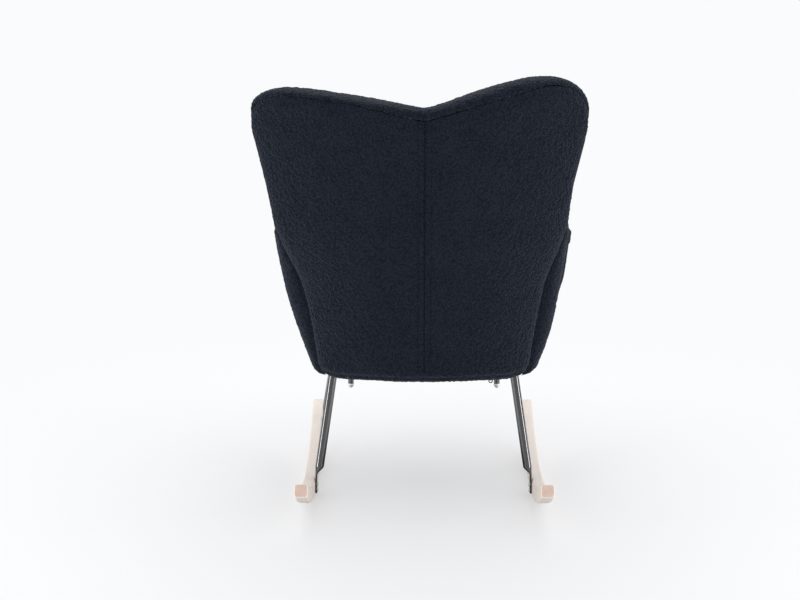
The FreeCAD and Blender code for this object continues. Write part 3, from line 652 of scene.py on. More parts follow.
def crest(u):
    look = bpy.context.scene.chair_back
    a = np.sqrt(u * u + 0.0009) - 0.03
    left = u > 0
    place = np.where(left, look.left_lobe_place, look.right_lobe_place)
    rise = np.where(left, look.left_lobe_rise, look.right_lobe_rise)
    drop = np.where(left, look.left_corner_drop, look.right_corner_drop)
    t = np.clip(a / place, 0.0, 1.0)
    v = np.clip((a - place) / (0.97 - place), 0.0, 1.0)
    corner = 1.0 - np.sqrt(np.clip(1.0 - v * v, 0.0, 1.0))
    return look.notch_height + rise * t * (1.5 - 0.5 * t * t) - drop * corner


def rim_height(u):
    """The roll along the top edge is tallest at the notch and thins out along the wings."""
    left = 0.0105 * ease(u / 0.4)
    right = 0.008 * ease((-u - 0.4) / 0.35)
    return RIM - np.where(u > 0, left, right)


def above_arms(z):
    return ease((z - WRAP_START) / WRAP_EASE)


def panel_reach(z):
    """Share of the arc that the outside panel covers; above the arms the wings' padding wraps the rest."""
    return 1.0 - bpy.context.scene.chair_back.wing_wrap * above_arms(z)


def shell_places(count):
    """Places across the shell, closer together at the wing corners."""
    s = np.linspace(-1.0, 1.0, count)
    return (0.25 * s + 0.75 * np.sin(0.5 * np.pi * s))[:, None]


def edge_roll(u):
    return 0.013 * np.clip((np.abs(u) - 0.88) / 0.12, 0.0, 1.0) ** 2.5


def lower_edge(u):
    return 0.0004 + 0.012 * np.clip((np.abs(u) - 0.86) / 0.14, 0.0, 1.0) ** 2


def hanging_edge(s):
    """Lower edge of the outside panel, which hangs towards the arms and is rounded at its corners."""
    look = bpy.context.scene.chair_back
    corner = np.clip((np.abs(s) - 0.75) / 0.25, 0.0, 1.0)
    return 0.0004 - look.lower_edge_hang - look.side_hang * s * s + 0.017 * corner**2


def across(u, z):
    """Distance from the middle seam, measured along the cloth."""
    return u * HALF_ARC * shell_radius(z)


def make_outside_back():
    look = bpy.context.scene.chair_back
    cloth = bpy.context.scene.chair_cloth
    s = shell_places(341)
    top = crest(s) - rim_height(s) - 0.0004
    low = hanging_edge(s)
    turn = np.radians(np.linspace(0.0, 90.0, 16))[None, :]
    roll_z = low + 0.028 * (1.0 - np.cos(turn))
    t = np.linspace(0.0, 1.0, 236)[None, 1:]
    face_z = low + 0.028 + t * (top - low - 0.028)
    back_z = top + np.linspace(0.0, 1.0, 24)[None, :] * (low - top)
    roll = edge_roll(s * panel_reach(face_z))
    under_roll = edge_roll(s * panel_reach(roll_z))
    roll_d = under_roll + (PANEL - under_roll) * (1.0 - np.sin(turn))
    roll_d = roll_d + 0.6 * look.seam_depth * groove(roll_z - low - look.hem_height, 0.0035)
    side = across(s * panel_reach(face_z), face_z)
    under_rim = top - face_z
    from_edge = across((1.0 - np.abs(s)) * panel_reach(face_z), face_z)
    sewn_edge = np.exp(-from_edge / 0.007) * above_arms(face_z)
    middle_seam = groove(side, 0.0045)
    side_rows = groove(np.abs(side) - 0.5 * look.seam_spread, 0.0032)
    ridges = groove(np.abs(side) - 0.27 * look.seam_spread, 0.0045)
    face_d = roll + 0.0011 * np.exp(-under_rim / 0.006) - 0.002 * groove(under_rim - 0.024, 0.014)
    face_d = face_d + 0.0022 * sewn_edge + look.seam_depth * (middle_seam + 0.6 * side_rows)
    face_d = face_d - 0.0016 * ridges
    flat_pile = 1.0 - 0.7 * np.clip(middle_seam + side_rows, 0.0, 1.0)
    z = np.concatenate([roll_z, face_z, back_z], 1)
    depth = np.concatenate([roll_d, face_d, np.full_like(back_z, PANEL)], 1)
    pile = np.concatenate([np.ones_like(roll_z), flat_pile, np.ones_like(back_z)], 1)
    loops = seated(shell(s * panel_reach(z), z, depth))
    panel = loft("outside_back_cover", loops, finish("pile_cloth"), pile=pile)
    raise_pile(panel, cloth.pile_height, cloth.pile_knot)
    dress(panel, "boucle", "outside_back")

    lines = []
    zs = np.linspace(0.03, look.notch_height - RIM - 0.008, 160)
    for sign in (-1, 1):
        us = sign * 0.5 * look.seam_spread / (HALF_ARC * shell_radius(zs))
        lines.append(seated(shell(us, zs, 0.001)))
    us = np.linspace(-0.86, 0.86, 320)
    lines.append(seated(shell(us, hanging_edge(us) + look.hem_height, 0.006)))
    stitches("outside_back_stitches", [on_surface(panel, row, 0.0001) for row in lines])


def wing_taper(a):
    return 1.0 - 0.38 * ease((a - 0.5) / 0.5)


def pad_thickness(t, low, middle, top):
    """Depth of the pad's face from its lower edge to the rim, fullest a little below the middle."""
    m = 0.42
    return (low * (t - m) * (t - 1.0) / m + top * t * (t - m) / (1.0 - m)
            - middle * t * (t - 1.0) / (m * (1.0 - m)))


def make_inside_back():
    look = bpy.context.scene.chair_back
    cloth = bpy.context.scene.chair_cloth
    u = shell_places(341)
    a = np.abs(u)
    roll = edge_roll(u)
    reach = 1.0 - look.wing_wrap
    s = np.clip(u / reach, -1.0, 1.0)
    top = crest(u)
    lip = np.minimum(crest(s) - rim_height(s), top - 0.008)
    rim = top - lip
    low = lower_edge(u)
    taper = wing_taper(a)
    near = np.minimum(a, np.abs(a - look.channel_place))
    dip = look.channel_depth * np.exp(-np.abs(near / 0.05) ** 1.3)
    dip = dip - 0.006 * np.sin(np.pi * np.clip(a / look.channel_place, 0, 1)) ** 2
    inner = PAD_REAR - (PAD_REAR - PANEL - 0.001) * ease((a - 0.945) / 0.012)
    d_low = inner + (0.082 - PAD_REAR) * taper - 0.4 * dip
    d_mid = 0.114 * taper - dip
    d_top = 0.078 * taper - 0.6 * dip

    t = np.linspace(0.0, 1.0, 60)[None, :]
    rear_z = low + t * (lip - low)
    wrapped = ease((a - reach) / 0.004) * above_arms(rear_z)
    rear_d = inner + (roll + 0.0015 - inner) * wrapped
    step = np.linspace(0.0, 1.0, 8)[None, 1:]
    step_d = rear_d[:, -1:] + step * (roll + 0.0009 - rear_d[:, -1:])
    step_z = np.repeat(lip, 7, 1) + 0.0015 * step
    turn = np.radians(np.linspace(0.0, 180.0, 34))[None, 1:-1]
    rim_d = roll + (d_top - roll) * 0.5 * (1.0 - np.cos(turn))
    rim_z = lip + rim * np.sin(turn) ** 0.75
    t = np.linspace(1.0, 0.0, 196)[None, :]
    face_z = low + t * (lip - low)
    face_d = pad_thickness(t, d_low, d_mid, d_top) - 0.010 * np.clip((0.03 - t) / 0.03, 0.0, 1.0) ** 2
    z = np.concatenate([rear_z, step_z, rim_z, face_z], 1)
    depth = np.concatenate([rear_d, step_d, rim_d, face_d], 1)
    nose = np.clip((a - 0.945) / 0.055, 0.0, 1.0)
    middle = 0.5 * (PANEL + pad_thickness(0.5, d_low, d_mid, d_top))
    depth = middle + (depth - middle) * np.sqrt(np.clip(1.0 - nose**2, 0.0, 1.0))
    loops = shell(np.repeat(u, z.shape[1], 1), z, depth)
    pad = loft("inside_back_cover", seated(loops), finish("pile_cloth"))
    raise_pile(pad, cloth.pile_height, cloth.pile_knot)
    dress(pad, "boucle", "inside_back")
    rows = []
    for place in (-look.channel_place, 0.0, look.channel_place):
        zs = np.linspace(0.19, float(crest(np.array([place]))[0]) - 0.004, 140)
        guess = shell(np.full_like(zs, place), zs, 0.085)
        rows.append(on_surface(pad, seated(guess), -0.0004))
    stitches("inside_back_stitches", rows)


# Arms

def arm_outer(z):
    inset = ARM_BOW * math.cos(ARM_LEAN)
    return ARM_FOOT - inset + np.sqrt(ARM_BOW**2 - (z - ARM_BOW * math.sin(ARM_LEAN)) ** 2)


def arm_inner(z):
    return 0.228 + 0.10 * z


def arm_loops(sign, swell):
    """Sections of one arm from its rounded front to the seam under the back's edge.

    sign is 1 for the sitter's left arm; swell gives how far the stuffing stands out at each height.
    """
    edge_y = float(shell(np.ones(1), np.zeros(1), np.zeros(1))[0, 1])
    front, rear = ARM_FRONT, edge_y - 0.005
    s = np.linspace(0.0, 1.0, 190)[:, None]
    y = front + (rear - front) * s
    share = (y - front) / (edge_y - front)
    lean = 0.10 + 0.03 * ease((y + 0.18) / 0.18)
    nose = np.clip(1.0 - (y - front) / 0.034, 0.0, 1.0)
    blunt = 1.0 - np.sqrt(1.0 - nose**2)
    tail = np.clip((y - edge_y + 0.052) / 0.047, 0.0, 1.0)
    tuck = 1.0 - np.sqrt(1.0 - tail**2)
    seam = groove(y - edge_y + 0.050, 0.004)
    rise = np.clip(share, 0.0, 1.0)
    top = 0.292 + 0.070 * (0.45 * rise + 0.55 * rise**2) - 0.034 * blunt
    base = 0.0004 - 0.0145 * ease((y + 0.16) / 0.22)
    crown = 0.030
    shoulder = top - crown
    t = np.linspace(0.0, 1.0, 90)[None, :]
    zo = base + t * (shoulder - base)
    full = arm_outer(zo) + through(swell, zo)
    panel_edge = shell_half_width(zo) + sign * wing_sway(zo) - 0.010
    under = np.clip(1.0 - (zo - base) / 0.020, 0.0, 1.0)
    xo = full - 0.011 * blunt - np.maximum(full - panel_edge, 0.004) * tuck - 0.003 * seam
    xo = xo - 0.016 * (1.0 - np.sqrt(1.0 - under**2))
    xi_top = arm_inner(shoulder) + 0.005 * blunt
    half = 0.5 * (xo[:, -1:] - xi_top)
    middle = 0.5 * (xo[:, -1:] + xi_top)
    turn = np.radians(np.linspace(0.0, 180.0, 38))[None, 1:-1]
    xc = middle + half * np.cos(turn)
    zc = shoulder + crown * np.sin(turn)
    zi = base + t[:, ::-1] * (shoulder - base)
    xi = arm_inner(zi) + 0.005 * blunt - 0.004 * np.sin(np.pi * t)
    x = np.concatenate([xo, xc, xi], 1)
    z = np.concatenate([zo, zc, zi], 1)
    return np.stack([x, y + lean * z, z], -1)


# How far the stuffing of each arm stands out at a few heights
ARM_SWELL = {"left_arm": ((0.0, 0.0100), (0.05, 0.0125), (0.1, 0.0148), (0.2, 0.0160), (0.36, 0.012)),
             "right_arm": ((0.0, 0.0160), (0.05, 0.0185), (0.09, 0.0178), (0.13, 0.0148), (0.2, 0.009),
                           (0.36, 0.001))}
# How far the pocket stands off the arm, from its lower seam to its mouth
POCKET_STAND = ((0.0, 0.0), (0.12, 0.0020), (0.25, 0.0045), (0.42, 0.0100), (0.6, 0.0108), (0.8, 0.0100),
                (1.0, 0.0095))


def make_arms():
    cloth = bpy.context.scene.chair_cloth
    for name, sign in (("left_arm", 1.0), ("right_arm", -1.0)):
        loops = arm_loops(sign, ARM_SWELL[name])
        arm = loft(name + "_cover", seated(loops * np.array([sign, 1.0, 1.0])), finish("pile_cloth"))
        raise_pile(arm, cloth.pile_height, cloth.pile_knot)
        dress(arm, "boucle", name)
        rows = []
        for column in (92, 122):
            guess = loops[14:160, column] * np.array([sign, 1.0, 1.0])
            rows.append(on_surface(arm, seated(guess), 0.0001))
        stitches(name + "_stitches", rows)


# Pocket on the sitter's right arm

def make_pocket():
    cloth = bpy.context.scene.chair_cloth
    front, rear, low, high = -0.240, 0.008, 0.112, 0.296
    s = np.linspace(-1.0, 1.0, 110)[:, None]
    t = np.linspace(0.0, 1.0, 84)[None, :]
    y = 0.5 * (front + rear) + 0.5 * (rear - front) * s
    z = low + t * (high - low) + 0.0 * s
    stand = through(POCKET_STAND, t) * (1.0 - np.abs(s) ** 14)
    stand = stand + 0.0012 * np.sin(9.0 * s + 2.0) * t**2
    inner = arm_outer(z) + through(ARM_SWELL["right_arm"], z) + 0.0022 + stand
    thick = 0.0026 + 0.0026 * ease((t - 0.86) / 0.03) - 0.0016 * groove(t - 0.855, 0.012)
    thick = thick - 0.0012 * np.clip((np.abs(s) - 0.93) / 0.07, 0.0, 1.0)
    outer = inner + thick
    x = np.concatenate([inner, outer[:, ::-1]], 1)
    z = np.concatenate([z, z[:, ::-1]], 1)
    loops = np.stack([-x, np.repeat(y, x.shape[1], 1), z], -1)
    pocket = loft("side_pocket_cover", seated(loops), finish("pile_cloth"))
    raise_pile(pocket, 0.5 * cloth.pile_height, cloth.pile_knot, 0.0)
    dress(pocket, "boucle", "side_pocket")
    hem = loops[4:-4, 84 + 13]
    sides = [loops[k, 84 + 4:84 + 82] for k in (4, -5)]
    bottom = loops[4:-4, 84 + 79]
    rows = [on_surface(pocket, seated(row), 0.0002) for row in [hem, bottom] + sides]
    stitches("side_pocket_stitches", rows)


# Seat

def seat_outline(inset, half, front, rear_side, rear_middle, front_round, rear_round, count=40):
    """Points round a seat piece: rounded front corners, sides drawn in, rear edge bowed with the back."""
    half = half - inset
    front = front + inset
    rear = rear_side - inset
    rf = max(front_round - 0.5 * inset, 0.008)
    rr = max(rear_round - 0.5 * inset, 0.006)
    bow = rear_middle - rear_side
    left = []
    for k in range(count):
        left.append((k / count * (half - rf), front - 0.004 * (1.0 - (k / count) ** 2)))
    for a in np.radians(np.linspace(-90.0, 0.0, 16)):
        left.append((half - rf + rf * math.cos(a), front + rf + rf * math.sin(a)))
    for t in np.linspace(0.0, 1.0, count + 2)[1:-1]:
        left.append((half - 0.016 * t * (1.0 - t), front + rf + t * (rear - rr - front - rf)))
    for a in np.radians(np.linspace(0.0, 80.0, 12)):
        left.append((half - rr + rr * math.cos(a), rear - rr + rr * math.sin(a)))
    end = left[-1][0] / half
    for t in np.linspace(end, 0.0, count + 1)[1:]:
        left.append((t * half, rear + bow * (1.0 - t * t)))
    right = [(-x, y) for x, y in left[-2:0:-1]]
    return np.array(left + right)


def layered(name, outlines, material):
    """A closed pad through outlines at rising heights, with its flat ends filled."""
    rows, count = len(outlines), len(outlines[0])
    verts = np.concatenate(outlines)
    faces = ring_faces(rows, count)
    extra = []
    for start in (0, (rows - 1) * count):
        extra.append(verts[start:start + count].mean(0))
        centre = len(verts) + len(extra) - 1
        faces += [[start + a, start + (a + 1) % count, centre] for a in range(count)]
    return add_piece(name, np.concatenate([verts, np.array(extra)]), faces, material)


def make_cushion():
    look = bpy.context.scene.chair_seat
    cloth = bpy.context.scene.chair_cloth
    base, thick = CUSHION_BASE, look.cushion_thickness
    outlines = []
    shares = np.concatenate([np.linspace(0.0, 0.14, 8), np.linspace(0.2, 0.66, 8),
                             np.linspace(0.70, 1.0, 16)])
    for share in shares:
        lower = max(0.0, 1.0 - share / 0.14)
        upper = max(0.0, (share - 0.68) / 0.32)
        inset = 0.003 + 0.009 * (1.0 - math.sqrt(max(0.0, 1.0 - lower**2)))
        inset += 0.105 * (1.0 - math.sqrt(max(0.0, 1.0 - upper**3.2)))
        plan = seat_outline(inset, **CUSHION_PLAN)
        level = np.full(len(plan), base + share * thick * 0.97)
        outlines.append(np.column_stack([plan, level]))
    cushion = layered("seat_cushion_cover", outlines, finish("pile_cloth"))
    puffed(cushion, 0.0055, 4.0, look.cushion_swell)
    co = points_of(cushion)
    side = arm_inner(co[:, 2]) - 0.0035
    co[:, 0] = np.clip(co[:, 0], -side, side)
    co[:, 1] = np.maximum(co[:, 1], -0.433)
    co[:, 2] = np.maximum(co[:, 2], base + 0.0006)
    put_points(cushion, seated(co))
    subdivided(cushion)
    seam_rows = []
    for share, out in ((0.07, 0.0), (0.80, 0.004)):
        plan = seat_outline(-out, **CUSHION_PLAN)
        level = np.full(len(plan), base + share * thick)
        ring = on_surface(cushion, seated(np.column_stack([plan, level])), 0.0)
        seam_rows.append(ring + [ring[0]])
    sew_in(cushion, seam_rows, 0.0035, 0.006)
    raise_pile(cushion, cloth.pile_height, cloth.pile_knot)
    dress(cushion, "boucle", "seat_cushion", body="cushion")
    rows = [on_surface(cushion, row, 0.0) for row in seam_rows]
    stitches("seat_cushion_stitches", rows, body="cushion")


def sew_in(obj, rows, depth, width):
    """Draws the cover in along seam lines."""
    spots = []
    for row in rows:
        for a, b in zip(row, row[1:]):
            steps = max(1, int((Vector(b) - Vector(a)).length / 0.003))
            spots += [Vector(a).lerp(Vector(b), k / steps) for k in range(steps)]
    tree = KDTree(len(spots))
    for i, spot in enumerate(spots):
        tree.insert(spot, i)
    tree.balance()
    co = points_of(obj)
    far = np.array([tree.find(Vector(p))[2] for p in co])
    put_points(obj, co - normals_of(obj) * (depth * groove(far, width))[:, None])


def make_seat_base():
    cloth = bpy.context.scene.chair_cloth
    # Front border under the cushion's edge
    x = np.linspace(-1.0, 1.0, 181)[:, None]
    turn = np.linspace(0.0, 2.0 * np.pi, 97)[None, :-1]
    end = np.sqrt(np.clip(1.0 - np.clip((np.abs(x) - 0.94) / 0.06, 0.0, 1.0) ** 2, 0.0, 1.0))
    c, n = np.cos(turn), np.sin(turn)
    mid_y, mid_z = -0.3889, 0.0378
    half_y, half_z = 0.0105, 0.0372
    y = half_y * np.sign(c) * np.abs(c) ** 0.45 - 0.003 * (c < 0) * (1.0 - n**2)
    z = half_z * np.sign(n) * np.abs(n) ** 0.45
    y = mid_y + y * (0.55 + 0.45 * end)
    z = mid_z + z * (0.9 + 0.1 * end)
    loops = np.stack([x * (arm_inner(z) + 0.0005), y, z], -1)
    border = loft("front_border_cover", seated(loops), finish("pile_cloth"))
    raise_pile(border, 0.8 * cloth.pile_height, cloth.pile_knot, 0.0006)
    dress(border, "boucle", "front_border")

    # Deck under the loose cushion
    outlines = []
    for share, inset in ((0.0, 0.001), (0.25, 0.0), (0.6, 0.0), (0.82, 0.0015), (0.95, 0.005), (1.0, 0.011)):
        plan = seat_outline(inset, **DECK_PLAN)
        outlines.append(np.column_stack([plan, np.full(len(plan), 0.0582 + 0.0168 * share)]))
    deck = layered("seat_deck_cover", outlines, finish("deck_cloth"))
    put_points(deck, seated(points_of(deck)))
    dress(deck, "deck_pad", "seat_deck")

    # Bonded lining stapled under the frame
    plan_x = np.linspace(-1.0, 1.0, 61)[:, None]
    t = np.linspace(0.0, 1.0, 71)[None, :]
    half, front, rear_side, rear_middle = 0.2215, -0.3775, 0.064, 0.158
    bow = rear_middle - rear_side
    rear = rear_side + bow * (1.0 - plan_x**2)
    gx = half * plan_x + 0.0 * t
    gy = front + t * (rear - front)
    calm = np.clip(1.0 - (np.abs(plan_x) / 0.55) ** 2, 0.0, 1.0) * np.sin(np.pi * t) ** 0.7
    sag = 0.0035 * calm + 0.0007 * np.sin(19.0 * plan_x + 5.0 * t) * calm
    top = np.stack([gx, gy, -0.0002 - sag], -1)
    under = np.stack([gx, gy, -0.0009 - sag], -1)
    loops = np.concatenate([top, under[:, ::-1]], 1)
    lining = loft("dust_cover_sheet", seated(loops), finish("lining_cloth"))
    dress(lining, "lining", "dust_cover")
    rows = []
    for sign in (-1, 1):
        rows.append([(sign * 0.192, y, -0.0013) for y in np.linspace(-0.36, 0.03, 60)])
    rows.append([(x, -0.368, -0.0013) for x in np.linspace(-0.19, 0.19, 60)])
    staples = line_object("lining_staples", [seated(np.array(row)) for row in rows])
    grown(staples, node_group("stitch_row", stitch_tree), Pitch=0.032, Stitch_length=0.011,
          Thread=0.0011, Finish=finish("bright_zinc"))
    dress(staples, "zinc_steel")


# Rockers

def rocker_arc(y):
    return ROCKER_RADIUS - np.sqrt(ROCKER_RADIUS**2 - np.asarray(y, float) ** 2)


def rocker_underside(y):
    return np.maximum(0.0, rocker_arc(y) - rocker_arc(REST_FLAT / 2.0))


def circle_through(a, b, c):
    """Centre and radius of the circle through three points in the side view."""
    (ay, az), (by, bz), (cy, cz) = a, b, c
    d = 2.0 * (ay * (bz - cz) + by * (cz - az) + cy * (az - bz))
    sa, sb, sc = ay**2 + az**2, by**2 + bz**2, cy**2 + cz**2
    y = (sa * (bz - cz) + sb * (cz - az) + sc * (az - bz)) / d
    z = (sa * (cy - by) + sb * (ay - cy) + sc * (by - ay)) / d
    return y, z, math.hypot(ay - y, az - z)


def rounded_box(count, power):
    turn = np.linspace(0.0, 2.0 * np.pi, count + 1)[:-1] + np.pi / count
    c, n = np.cos(turn), np.sin(turn)
    return np.sign(c) * np.abs(c) ** power, np.sign(n) * np.abs(n) ** power


def make_rockers():
    rear, front = ROCKER_REAR, ROCKER_FRONT
    ends = []
    for reach in (rear, front):
        turn = math.asin(reach / ROCKER_RADIUS)
        low = (reach, float(rocker_underside(reach)))
        ends.append((low[0] - ROCKER_END_HEIGHT * math.sin(turn),
                     low[1] + ROCKER_END_HEIGHT * math.cos(turn)))
    cy, cz, radius = circle_through(ends[0], (0.0, ROCKER_MIDDLE_HEIGHT), ends[1])
    t = np.linspace(0.0, 1.0, 150)
    low_y = rear + (front - rear) * t
    low_z = rocker_underside(low_y)
    high_y = ends[0][0] + (ends[1][0] - ends[0][0]) * t
    high_z = cz - np.sqrt(radius**2 - (high_y - cy) ** 2)
    px, pz = rounded_box(56, 0.30)
    near_end = np.clip(1.0 - np.minimum(t, 1.0 - t) / 0.007, 0.0, 1.0)
    end_ease = 1.0 - 0.10 * (1.0 - np.sqrt(1.0 - near_end**2))
    mid_y, mid_z = 0.5 * (low_y + high_y), 0.5 * (low_z + high_z)
    up_y, up_z = 0.5 * (high_y - low_y), 0.5 * (high_z - low_z)
    for name, sign in (("left_rocker", 1.0), ("right_rocker", -1.0)):
        centre = ROCKER_INNER + 0.5 * ROCKER_WIDTH
        x = sign * (centre + 0.5 * ROCKER_WIDTH * px[None, :] * end_ease[:, None])
        y = mid_y[:, None] + up_y[:, None] * pz[None, :] * end_ease[:, None]
        z = mid_z[:, None] + up_z[:, None] * pz[None, :] * end_ease[:, None]
        rocker = loft(name + "_wood", np.stack([x, y, np.maximum(z, 0.0)], -1), finish("rocker_grain"))
        rocker.data.materials.append(finish("rocker_end_grain"))
        for polygon in rocker.data.polygons:
            if abs(polygon.normal.y) > 0.86:
                polygon.material_index = 1
                polygon.use_smooth = False
        dress(rocker, "rocker_wood", name)


# Legs

def leg_axis(foot_y, top_y):
    """Foot point, lean and length of a leg, seen from the side."""
    foot_z = float(rocker_underside(foot_y)) + 0.004
    top = seated(np.array([LEG_TOP_X, top_y, PLATE_FACE]))
    dy, dz = top[1] - foot_y, top[2] - foot_z
    return foot_z, math.atan2(dy, dz), math.hypot(dy, dz)


def leg_to_place(points, foot_y, foot_z, lean):
    p = np.asarray(points, float)
    out = p.copy()
    out[..., 1] = foot_y + p[..., 1] * math.cos(lean) + p[..., 2] * math.sin(lean)
    out[..., 2] = foot_z + p[..., 2] * math.cos(lean) - p[..., 1] * math.sin(lean)
    return out


def leg_loops(length):
    """Round tube, pressed flat towards its foot, with the foot's end rounded."""
    end_round, flat_end, swage = 0.011, 0.042, 0.022
    knee = flat_end + swage
    z = np.concatenate([np.linspace(0.0, end_round, 14), np.linspace(end_round + 0.003, flat_end, 12),
                        np.linspace(flat_end + 0.002, knee, 18),
                        np.linspace(knee + 0.006, length + 0.004, 30)])
    press = ease((z - flat_end) / swage)
    half_x = FOOT_HALF + (TUBE_HALF - FOOT_HALF) * press
    from_end = np.clip(1.0 - z / end_round, 0.0, 1.0)
    half_y = FOOT_HALF_BREADTH - (FOOT_HALF_BREADTH - TUBE_HALF) * press
    half_y = half_y * np.sqrt(np.clip(1.0 - from_end**2, 0.0004, 1.0))
    climb = np.clip((z - knee) / (length - knee), 0.0, None)
    centre = ROCKER_INNER - half_x + climb * (LEG_TOP_X - ROCKER_INNER + TUBE_HALF)
    power = 0.45 + 0.55 * press
    turn = np.linspace(0.0, 2.0 * np.pi, 37)[:-1]
    c, n = np.cos(turn)[None, :], np.sin(turn)[None, :]
    x = centre[:, None] + half_x[:, None] * np.sign(c) * np.abs(c) ** power[:, None]
    y = half_y[:, None] * np.sign(n) * np.abs(n) ** power[:, None]
    return np.stack([x, y, np.repeat(z[:, None], 36, 1)], -1)


def make_legs():
    names = (("front_left_leg", "front_right_leg"), ("rear_left_leg", "rear_right_leg"))
    for (foot_y, top_y), pair in zip(FEET, names):
        foot_z, lean, length = leg_axis(foot_y, top_y)
        tube = leg_to_place(leg_loops(length), foot_y, foot_z, lean)
        turn = np.linspace(0.0, 2.0 * np.pi, 41)[:-1][:, None]
        ring = np.linspace(0.0, 2.0 * np.pi, 9)[None, :-1]
        lump = 0.0022 + 0.0004 * np.sin(13.0 * turn)
        reach = 0.0104 + lump * np.cos(ring)
        bead = np.stack([LEG_TOP_X + reach * np.cos(turn), top_y + reach * np.sin(turn),
                         -0.0058 + lump * np.sin(ring)], -1)
        for name, sign in zip(pair, (1.0, -1.0)):
            flip = np.array([sign, 1.0, 1.0])
            leg = loft(name + "_tube", tube * flip, finish("black_coat"))
            dress(leg, "black_steel", name)
            closed = np.concatenate([bead, bead[:1]]) * flip
            faces = ring_faces(*closed.shape[:2])
            weld = add_piece(name + "_weld", seated(closed).reshape(-1, 3), faces, finish("black_coat"))
            dress(weld, "black_steel")


# Fasteners

def turned(name, profile, sides, finish_name):
    """A turned shape from radius and height pairs, standing on its own axis."""
    rings = [[(r * math.cos(2 * math.pi * k / sides), r * math.sin(2 * math.pi * k / sides), h)
              for k in range(sides)] for r, h in profile]
    verts = [p for ring in rings for p in ring]
    faces = ring_faces(len(rings), sides)
    faces.append(tuple(range(sides))[::-1])
    faces.append(tuple(range((len(rings) - 1) * sides, len(rings) * sides)))
    return add_piece(name, verts, faces, finish(finish_name))


def screw_head():
    """Pan head with a driver recess."""
    profile = ((0.0049, 0.0), (0.0049, 0.0008), (0.0044, 0.0019), (0.0032, 0.0027), (0.0021, 0.0029),
               (0.0017, 0.0016), (0.0009, 0.0014))
    return turned("screw_head_shape", profile, 12, "bright_zinc")


def socket_head():
    """Button head with a six-sided socket."""
    profile = ((0.0072, 0.0), (0.0072, 0.0012), (0.0066, 0.0028), (0.0050, 0.0042), (0.0030, 0.0046),
               (0.0028, 0.0020), (0.0012, 0.0019))
    return turned("socket_head_shape", profile, 12, "bright_zinc")


def make_fasteners():
    spots = []
    for foot_y, top_y in FEET:
        foot_z, lean, _ = leg_axis(foot_y, top_y)
        for along in (0.008, 0.0205):
            for sign in (1.0, -1.0):
                p = leg_to_place(np.array([sign * (ROCKER_INNER - 0.0038), 0.0, along]), foot_y, foot_z, lean)
                spots.append((p, (-sign, 0.0, 0.0)))
    screws = fasteners("rocker_screw_heads", screw_head(), spots, "bright_zinc")
    dress(screws, "zinc_steel", "rocker_screws")
    spots = []
    for y in (-0.286, -0.210, -0.115, -0.020):
        spots += [(seated(np.array([s * 0.211, y, PLATE_FACE])), DOWN) for s in (1.0, -1.0)]
    bolts = fasteners("leg_plate_bolt_heads", socket_head(), spots, "bright_zinc")
    dress(bolts, "zinc_steel", "leg_plate_bolts")
    spots = [(seated(np.array([s * CLAMP_X, 0.031, PLATE_FACE])), DOWN) for s in (1.0, -1.0)]
    bolts = fasteners("bracket_bolt_heads", socket_head(), spots, "bright_zinc")
    dress(bolts, "zinc_steel", "bracket_bolts")


def make_clamps():
    """Sleeves, cap nuts and the wire hook that show under the back."""
    depth = PANEL + 0.0004 + 0.0125
    z = 0.026
    radius = float(shell_radius(z)) - depth
    turn = math.asin(CLAMP_X / radius)
    y = SHELL_REAR + z * LEAN - float(shell_radius(z)) + radius * math.cos(turn)
    ends = [np.array([s * CLAMP_X, y, PLATE_FACE]) for s in (1.0, -1.0)]
    sleeve = turned("sleeve_shape", ((0.0046, 0.0), (0.0065, 0.0), (0.0065, 0.0155), (0.0058, SLEEVE_LENGTH),
                                     (0.0046, SLEEVE_LENGTH)), 24, "black_coat")
    sleeves = fasteners("clamp_sleeve_tubes", sleeve, [(seated(p), DOWN) for p in ends], "black_coat")
    dress(sleeves, "black_steel", "clamp_sleeves")
    nut = turned("cap_nut_shape", ((0.0065, 0.0), (0.0065, 0.0055), (0.0052, 0.0060), (0.0050, 0.0075),
                                   (0.0042, 0.0094), (0.0026, 0.0107), (0.0010, 0.0110)), 18, "bright_zinc")
    spots = [(seated(p - np.array([0.0, 0.0, SLEEVE_LENGTH])), DOWN) for p in ends]
    nuts = fasteners("cap_nut_ends", nut, spots, "bright_zinc")
    for polygon in nuts.data.polygons:
        polygon.use_smooth = True
    dress(nuts, "zinc_steel", "cap_nuts")

    start = ends[1] + np.array([0.010, 0.0, 0.0])
    path = [start, start - np.array([0, 0, 0.006]), start - np.array([0, 0, 0.012])]
    for a in np.radians(np.linspace(0.0, 180.0, 13)):
        path.append(start + np.array([0.004 * (1.0 - math.cos(a)), 0.0, -0.012 - 0.004 * math.sin(a)]))
    path.append(path[-1] + np.array([0.0, 0.0, 0.006]))
    curve = bpy.data.curves.new("hook_line", "CURVE")
    curve.dimensions = "3D"
    line = curve.splines.new("POLY")
    line.points.add(len(path) - 1)
    for point, p in zip(line.points, path):
        point.co = (*seated(p), 1.0)
    curve.bevel_depth = 0.0012
    curve.bevel_resolution = 3
    curve.use_fill_caps = True
    wire = new_object("hook_line", curve)
    bpy.context.view_layer.update()
    mesh = bpy.data.meshes.new_from_object(wire.evaluated_get(bpy.context.evaluated_depsgraph_get()))
    bpy.data.objects.remove(wire)
    mesh.name = "tie_hook_wire"
    mesh.materials.clear()
    mesh.materials.append(finish("black_coat"))
    hook = new_object("tie_hook_wire", mesh)
    dress(hook, "black_steel", "tie_hook")


def finish_frame():
    """Rails, boards, plates and webbing keep their own shape and get a finish."""
    for row in frame["record"]["subparts"]:
        node = frame["nodes"][row["node"]]
        node.data.materials.clear()
        node.data.materials.append(finish(SLOT_FINISH[row["material_slot"]]))


# Stage

